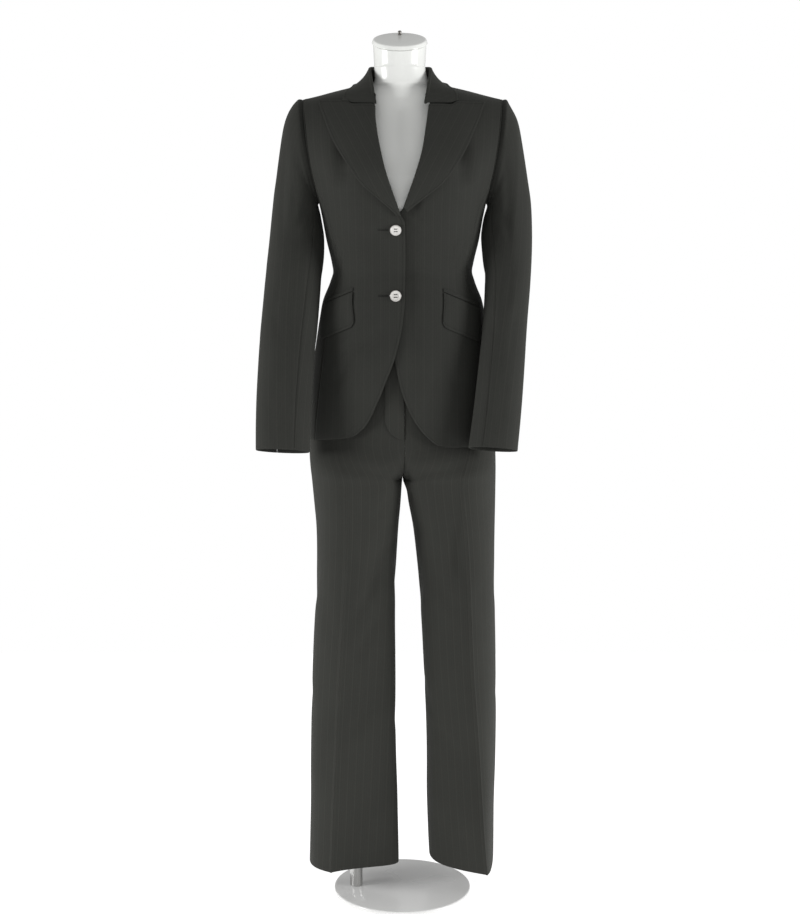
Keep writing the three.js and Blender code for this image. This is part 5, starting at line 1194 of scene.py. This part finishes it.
SLEEVE_FOLDS = [
    ("front", -206, 1398, -212, 1240, 8, -2.4, 3), ("front", -190, 1330, -204, 1230, 8, -1.6, -2),
    ("front", -232, 1470, -226, 1330, 9, 1.0, -3), ("front", -166, 1290, -196, 1234, 9, -2.2, 3),
    ("front", -160, 1250, -200, 1190, 9, -2.0, 3), ("front", -200, 1180, -226, 1120, 10, -1.7, 3),
    ("front", -176, 1160, -190, 1070, 8, -1.2, 0), ("front", -236, 1130, -214, 1060, 10, -1.4, -2),
    ("front", -200, 1040, -222, 960, 9, -1.2, 2), ("front", -232, 960, -224, 890, 8, -1.0, 0),
    ("front", 204, 1440, 203, 1300, 5, 1.3, 1), ("front", 200, 1300, 196, 1120, 6, 1.1, 2),
    ("front", 182, 1380, 186, 1260, 8, -2.0, -2), ("front", 168, 1290, 192, 1230, 9, -2.0, -3),
    ("front", 158, 1240, 192, 1180, 9, -1.8, -3), ("front", 196, 1200, 176, 1110, 9, -1.5, -3),
    ("front", 206, 1130, 190, 1030, 9, -1.2, 2), ("front", 160, 1100, 172, 1010, 9, -1.3, 0),
    ("front", 180, 1000, 168, 910, 8, -1.1, 2), ("front", 150, 960, 158, 900, 8, -1.0, 0),
    ("back", -190, 1360, -204, 1250, 10, -1.8, 2), ("back", -160, 1230, -210, 1180, 9, -2.2, 3),
    ("back", -170, 1160, -216, 1120, 9, -1.7, 2), ("back", -200, 1060, -226, 980, 10, -1.3, 2),
    ("back", 190, 1360, 202, 1250, 10, -1.8, -2), ("back", 160, 1226, 206, 1176, 9, -2.1, -3),
    ("back", 166, 1150, 206, 1106, 9, -1.8, -2), ("back", 176, 1060, 196, 970, 10, -1.3, 0),
    ("right", 0, 1420, -6, 1330, 12, -1.2, 2), ("right", -24, 1180, 4, 1130, 10, -1.8, 2),
    ("right", -60, 1060, -40, 1000, 10, -1.4, 2), ("left", 2, 1416, -8, 1320, 12, -1.2, 2),
    ("left", -22, 1170, 6, 1124, 10, -1.7, 2), ("left", -64, 1050, -44, 984, 10, -1.4, -2),
]


def sleeve_angle(side, step, degrees):
    """A sleeve's seams wander round it on the way down, and its other lines follow them."""
    t = ease(step / SLEEVE_STEPS)
    front = mix(SLEEVE_SEAM["front"], CUFF_SEAM[side]["front"], t)
    back = mix(SLEEVE_SEAM["back"], CUFF_SEAM[side]["back"], t)
    share = (degrees - SLEEVE_SEAM["front"]) / (SLEEVE_SEAM["back"] - SLEEVE_SEAM["front"])
    first = SLEEVE_SEAM["back"] - 360
    over = mix(back - 360, front, (degrees - first) / (SLEEVE_SEAM["front"] - first))
    return np.where(degrees >= SLEEVE_SEAM["front"], mix(front, back, share), over)


def sleeve_point(side, step, degrees):
    step, degrees = np.broadcast_arrays(np.asarray(step, float), np.asarray(degrees, float))
    r = SLEEVE[side](np.maximum(step, 1))
    angle = np.radians(sleeve_angle(side, np.maximum(step, 1), degrees))
    c, s = np.cos(angle), np.sin(angle)
    y = r["y"] - r["depth"] * s * (1 - r["scoop"] * c)
    found = point(mix(r["inner_x"], r["outer_x"], (1 + c) / 2) + r["bow"] * s * s, y,
                  mix(r["inner_z"], r["outer_z"], (1 + c) / 2) - (y - r["y"]) * np.tan(np.radians(r["lean"])))
    return mix(armhole(degrees), found, np.minimum(step, 1)[..., None])


sleeve_sides = {}
for side, sign in SIGN.items():
    depth = np.concatenate([
        14 - np.array([0, 0.012, 0.03, 0.06, 0.1, 0.16, 0.24]), np.linspace(13.68, 1, 132),
        [0.9, 0.8, 0.7, 0.6, 0.5, 0.4, 0.3, 0.2, 0.12, 0.05, 0],
    ])
    for part, first, last, count, wide in (("top", -105, 142, 52, 230), ("under", 142, 255, 28, 110)):
        degrees = mix(last, first, spread(count, wide))[::-1]
        grid = sleeve_point(side, depth[:, None], degrees)
        head = grid[-1] - grid[-2]
        head /= np.maximum(np.linalg.norm(head, axis=-1, keepdims=True), 1e-6)
        grid[-1] -= head * min(HEAD_GAP - SEAM_GAP / 2, 0.5)
        across = lengths(grid, 1)
        middle = np.argmin(np.abs(degrees - (0 if part == "top" else 198)))
        across -= across[:, middle:middle + 1]
        rise = lengths(grid, 0)
        cut = np.stack([across, rise], -1)
        below = rise[-1] - rise
        roped = ROPED["high"] * np.exp(-(((below - ROPED["below"]) / ROPED["wide"]) ** 2))
        roped = roped * ease((np.cos(np.radians(degrees)) + 0.1) / 0.7)
        sleeve_sides[side, part] = cloth_piece(
            f"cloth_sleeve_{part}_{side}", mirrored(grid, sign), f"sleeve_{part}_{side}", cut,
            {"bottom": "free", "start": "seam", "end": "seam", "top": "seam"}, suit_wool, flip=sign > 0,
            extra=roped, folds=SLEEVE_FOLDS)

# ---------------------------------------------------------------- buttons
# Two pearl buttons on the right front, with a dished face, a darker bevelled rim and four eyes sewn
# through with dark thread. Each cuff has three small horn buttons set close along its back seam.
BUTTON = {"eye": 0.95, "spread": 2.4}
BUTTON_X, BUTTON_Z = 12, (1256, 1140)
CUFF_BUTTON = {"pitch": 10.8, "first": 24, "count": 3}
STAND_OFF = 0.35
BUTTON_PROFILE = [
    (7.4, 0), (8.7, 0.25), (9.6, 0.9), (10.0, 1.7), (9.9, 2.4), (9.5, 2.95), (8.9, 3.2), (8.3, 3.15), (7.8, 2.85),
    (7.3, 2.45), (6.6, 2.2), (5.3, 2.05), (3.4, 2.0), (0.6, 2.0),
]


def shell_pearl():
    """Mother of pearl: a milky face with soft bands, and a dark brown band painted round the rim."""
    material, tree, shader = new_material("pearl_button", Coat_Weight=0.6, Coat_Roughness=0.08, Roughness=0.2)
    place = tree.nodes.new("ShaderNodeUVMap")
    place.uv_map = "cloth"
    face = place.outputs["UV"]
    parts = added(tree, "ShaderNodeSeparateXYZ", Vector=face)
    wave = added(tree, "ShaderNodeTexNoise", Vector=face, Scale=160, Distortion=2.5).outputs["Fac"]
    bands = shades(tree, wave, [(0, (0.55, 0.53, 0.50)), (1, (0.86, 0.85, 0.82))])
    # A dark brown band is painted round the rim, from 8.6 mm out from the middle.
    rim = shades(tree, parts.outputs["X"], [(0.0086, (0, 0, 0)), (0.0092, (1, 1, 1))])
    both = tree.nodes.new("ShaderNodeMix")
    both.data_type = "RGBA"
    wire(tree, both, Factor=rim)
    first, second = (socket for socket in both.inputs if socket.type == "RGBA")
    tree.links.new(bands, first)
    second.default_value = (0.10, 0.085, 0.07, 1)
    wire(tree, shader, Base_Color=next(socket for socket in both.outputs if socket.type == "RGBA"))
    return material


def thread_material():
    material, tree, shader = new_material("sewing_thread", Roughness=0.8, Specular_IOR_Level=0.1)
    place = added(tree, "ShaderNodeTexCoord").outputs["Object"]
    twist = added(tree, "ShaderNodeTexNoise", Vector=place, Scale=2500).outputs["Fac"]
    wire(tree, shader, Base_Color=shades(tree, twist, [(0, (0.005, 0.005, 0.005)), (1, (0.014, 0.014, 0.013))]))
    return material


def frame_on(out):
    """Two directions across a button whose face looks along out, the second one upwards."""
    side = np.cross([0, 0, 1.0], out)
    side /= np.linalg.norm(side)
    return side, np.cross(out, side)


def placed(points, centre, out):
    """Points made round the upright axis, moved so that the axis looks along out."""
    side, up = frame_on(out)
    return centre + points[..., 0:1] * side + points[..., 1:2] * up + points[..., 2:3] * out


def tube(path, radius, sides=8):
    """Rings of a round thread along a path."""
    way = np.gradient(path, axis=0)
    way /= np.linalg.norm(way, axis=1, keepdims=True)
    side = np.cross(way, np.array([0.123, 0.456, 0.881]))
    side /= np.linalg.norm(side, axis=1, keepdims=True)
    up = np.cross(way, side)
    angle = (np.arange(sides) * 2 * math.pi / sides)[None, :, None]
    return path[:, None] + radius * (np.cos(angle) * side[:, None] + np.sin(angle) * up[:, None])


pearl = shell_pearl()
thread = thread_material()
for i, z in enumerate(BUTTON_Z):
    found, out = surface_at(BUTTON_X, z, front_point)
    centre, out = found * [-1, 1, 1], out * [-1, 1, 1]
    centre = centre + out * STAND_OFF
    rings = turned(BUTTON_PROFILE, 64)
    points, faces = closed_rings(rings)
    flat = np.stack([np.hypot(points[:, 0], points[:, 1]), np.arctan2(points[:, 1], points[:, 0]) * 2], -1)
    button = add_piece(f"pearl_button_{i + 1}", placed(points, centre, out), faces, pearl, [], "pearl_button", flat)
    eyes = bpy.data.meshes.new("eyes")
    eye_points, eye_faces = [], []
    for x, y in ((1, 1), (-1, 1), (-1, -1), (1, -1)):
        eye = turned([(BUTTON["eye"], -1), (BUTTON["eye"], 5)], 20) + np.array([x, y, 0]) * BUTTON["spread"]
        made, made_faces = closed_rings(eye)
        eye_faces += [[k + len(eye_points) for k in face] for face in made_faces]
        eye_points += placed(made, centre, out).tolist()
    eyes.from_pydata((np.array(eye_points) / 1000).tolist(), [], eye_faces)
    cutter = bpy.data.objects.new("eyes", eyes)
    bpy.context.collection.objects.link(cutter)
    drill = button.modifiers.new("eyes", "BOOLEAN")
    drill.operation, drill.object, drill.solver = "DIFFERENCE", cutter, "EXACT"
    drilled = bpy.data.meshes.new_from_object(button.evaluated_get(bpy.context.evaluated_depsgraph_get()))
    button.modifiers.clear()
    button.data = drilled
    bpy.data.objects.remove(cutter)
    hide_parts(f"front_button_{i + 1}")
    across = np.linspace(-1, 1, 13)
    sewn = []
    for y in (-1, 1):
        for off in (-0.28, 0.28):
            path = np.stack([across * (BUTTON["spread"] + 0.35), y * BUTTON["spread"] + off + 0 * across,
                             2.55 - 2.1 * np.abs(across) ** 6], -1)
            sewn.append(closed_rings(tube(placed(path, centre, out), 0.27)))
    points, faces = [], []
    for made, made_faces in sewn:
        faces += [[k + len(points) for k in face] for face in made_faces]
        points += made.tolist()
    add_piece(f"button_thread_{i + 1}", points, faces, thread, [], "suit_wool")

horn = lacquer("horn_button", (0.030, 0.026, 0.024), 0.28, 1200)
CUFF_PROFILE = [
    (3.8, 0), (4.6, 0.3), (5.0, 1.0), (4.9, 1.7), (4.5, 2.25), (4.0, 2.4), (3.5, 2.2), (3.1, 1.8), (2.4, 1.6),
    (0.4, 1.5),
]
CUFF_TURN = -97  # degrees: just past the back seam, on the top piece
for side, sign in SIGN.items():
    seam = SLEEVE_SEAM["back"]
    last = np.linalg.norm(sleeve_point(side, SLEEVE_STEPS, seam) - sleeve_point(side, SLEEVE_STEPS - 1, seam))
    for i in range(CUFF_BUTTON["count"]):
        step = SLEEVE_STEPS - (CUFF_BUTTON["first"] + i * CUFF_BUTTON["pitch"]) / last
        across = sleeve_point(side, step, CUFF_TURN + 3) - sleeve_point(side, step, CUFF_TURN - 3)
        along = sleeve_point(side, step - 0.1, CUFF_TURN) - sleeve_point(side, step + 0.1, CUFF_TURN)
        out = np.cross(along, across)
        out *= np.array([sign, 1, 1]) / np.linalg.norm(out)
        centre = sleeve_point(side, step, CUFF_TURN) * [sign, 1, 1] + out * STAND_OFF
        points, faces = closed_rings(turned(CUFF_PROFILE, 40))
        add_piece(f"horn_button_{side}_{i + 1}", placed(points, centre, out), faces, horn,
                  [f"cuff_button_{side}_{i + 1}"], "horn_button")

# ---------------------------------------------------------------- stitching
# Pick stitches in matching thread run a few millimetres inside the edges of the lapels, the collar,
# the fronts and the flaps, and close rows of them bind the two buttonholes.


def stitch_tree():
    """Geometry Nodes: small rounded stitches laid end to end along a line."""
    tree = bpy.data.node_groups.new("stitch_row", "GeometryNodeTree")
    face = tree.interface
    face.new_socket("Line", in_out="INPUT", socket_type="NodeSocketGeometry")
    sockets = {}
    for label, value in (("Pitch", 0.0025), ("Stitch length", 0.0016), ("Thread width", 0.0004)):
        made = face.new_socket(label, in_out="INPUT", socket_type="NodeSocketFloat")
        made.default_value = value
        sockets[label] = made.identifier
    made = face.new_socket("Thread", in_out="INPUT", socket_type="NodeSocketMaterial")
    sockets["Thread"] = made.identifier
    face.new_socket("Stitches", in_out="OUTPUT", socket_type="NodeSocketGeometry")
    given = added(tree, "NodeGroupInput").outputs
    line = added(tree, "GeometryNodeMeshToCurve", Mesh=given["Line"])
    points = added(tree, "GeometryNodeCurveToPoints")
    points.mode = "LENGTH"
    wire(tree, points, Curve=line.outputs["Curve"], Length=given["Pitch"])
    ball = added(tree, "GeometryNodeMeshUVSphere", Segments=6, Rings=4, Radius=0.5)
    wide = given["Thread width"]
    size = added(tree, "ShaderNodeCombineXYZ", X=wide, Y=wide, Z=given["Stitch length"])
    copies = added(tree, "GeometryNodeInstanceOnPoints", Points=points.outputs["Points"],
                   Rotation=points.outputs["Rotation"], Instance=ball.outputs["Mesh"], Scale=size.outputs["Vector"])
    real = added(tree, "GeometryNodeRealizeInstances", Geometry=copies.outputs["Instances"])
    smooth = added(tree, "GeometryNodeSetShadeSmooth", Geometry=real.outputs["Geometry"])
    paint = added(tree, "GeometryNodeSetMaterial", Geometry=smooth.outputs["Geometry"], Material=given["Thread"])
    added(tree, "NodeGroupOutput", Stitches=paint.outputs["Geometry"])
    return tree, sockets


stitches, stitch_socket = stitch_tree()


def sew(name, lines, pitch=2.6, long=1.7, wide=0.42):
    """One piece of stitching along lines of points, in millimetres."""
    mesh = bpy.data.meshes.new(name)
    points, edges = [], []
    for line in lines:
        edges += [(len(points) + k, len(points) + k + 1) for k in range(len(line) - 1)]
        points += (np.asarray(line) / 1000).tolist()
    mesh.from_pydata(points, edges, [])
    row = bpy.data.objects.new(name, mesh)
    bpy.context.collection.objects.link(row)
    sewing = row.modifiers.new("stitches", "NODES")
    sewing.node_group = stitches
    for label, value in (("Pitch", pitch / 1000), ("Stitch length", long / 1000), ("Thread width", wide / 1000),
                         ("Thread", thread)):
        sewing[stitch_socket[label]] = value
    made = bpy.data.meshes.new_from_object(row.evaluated_get(bpy.context.evaluated_depsgraph_get()))
    row.modifiers.clear()
    row.data = made
    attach(row, "root")
    return row


def line_inside(side_points, edge, inset, lift=0.1, part=(0.0, 1.0)):
    """A line on the right side of a piece, a distance inside its start, end, bottom or top."""
    grid, normals = side_points
    if edge in ("bottom", "top"):
        grid, normals = np.swapaxes(grid, 0, 1), np.swapaxes(normals, 0, 1)
    if edge in ("end", "top"):
        grid, normals = grid[:, ::-1], normals[:, ::-1]
    run = lengths(grid, 1)
    line = []
    for row, out, length in zip(grid, normals, run):
        if length[-1] < 2.2 * inset:
            continue
        here = [np.interp(inset, length, row[:, k]) + lift * np.interp(inset, length, out[:, k]) for k in range(3)]
        line.append(here)
    return line[int(part[0] * len(line)):int(part[1] * len(line))]


STITCH_INSET = 5  # distance of the stitches from an edge
BELOW_BREAK = 0.62  # share of a front's rows that lie below its break
for side in SIGN:
    sew(f"stitches_lapel_{side}", [line_inside(lapel_sides[side], edge, STITCH_INSET) for edge in ("end", "top")])
    flap = flap_sides[side]
    sew(f"stitches_flap_{side}", [line_inside(flap, edge, STITCH_INSET) for edge in ("bottom", "start", "end")])
    sew(f"stitches_front_{side}", [line_inside(front_sides[side], "start", STITCH_INSET, part=(0.0, BELOW_BREAK))])
sew("stitches_collar", [line_inside(collar_side, "end", STITCH_INSET)])

BUTTONHOLE = {"from": -25, "to": -43, "gap": 1.1}
for i, z in enumerate(BUTTON_Z):
    lines = []
    for k in (-1, 1):
        x = np.linspace(-BUTTONHOLE["from"], -BUTTONHOLE["to"], 12)
        found, out = surface_at(x, np.full(12, z + k * BUTTONHOLE["gap"]), front_point)
        lines.append((found + out * 0.25) * [-1, 1, 1])
    sew(f"buttonhole_{i + 1}", lines, pitch=0.75, long=0.9, wide=0.8)

# ---------------------------------------------------------------- light, floor and camera
# A plain white floor and backdrop, with a low soft light at each side in front. The backdrop is
# brighter to the eye than the light it gives.
FLOOR = 1.7  # metres from its middle to its edge
floor_mesh = bpy.data.meshes.new("floor")
floor_corners = [(x * FLOOR, y * FLOOR, 0) for x, y in ((-1, -1), (1, -1), (1, 1), (-1, 1))]
floor_mesh.from_pydata(floor_corners, [], [(0, 1, 2, 3)])
floor = bpy.data.objects.new("floor", floor_mesh)
bpy.context.collection.objects.link(floor)
floor_paint, _, _ = new_material("floor_paint", Base_Color=(0.9, 0.9, 0.9, 1), Roughness=0.9, Specular_IOR_Level=0.1,
                                 Emission_Color=(1, 1, 1, 1), Emission_Strength=0.60)
floor_mesh.materials.append(floor_paint)

world = bpy.data.worlds.new("studio")
world.use_nodes = True
sky = world.node_tree
seen = added(sky, "ShaderNodeLightPath").outputs["Is Camera Ray"]
strength = added(sky, "ShaderNodeMapRange", Value=seen, To_Min=0.46, To_Max=1.0)
wire(sky, sky.nodes["Background"], Color=(1, 1, 1, 1), Strength=strength.outputs["Result"])
bpy.context.scene.world = world


def soft_light(name, place, aim, size, power):
    light = bpy.data.lights.new(name, "AREA")
    light.shape, light.size, light.energy = "DISK", size, power
    lamp = bpy.data.objects.new(name, light)
    lamp.location = place
    away = np.array(place, float) - np.array(aim, float)
    lamp.rotation_euler = (math.acos(away[2] / np.linalg.norm(away)), 0, math.atan2(away[0], -away[1]))
    bpy.context.collection.objects.link(lamp)


soft_light("light_left", (-3.1, -1.15, 1.25), (0, 0, 1.1), 1.2, 62)
soft_light("light_right", (3.1, -1.15, 1.25), (0, 0, 1.1), 1.2, 72)

camera_data = bpy.data.cameras.new("camera")
camera_data.lens, camera_data.sensor_width = 69.3, 36
camera = bpy.data.objects.new("camera", camera_data)
camera.location = (-0.0045, -3.2, 1.339)
camera.rotation_euler = (math.radians(81.1), 0, 0)
bpy.context.collection.objects.link(camera)
bpy.context.scene.camera = camera
bpy.context.scene.view_settings.view_transform = "Standard"
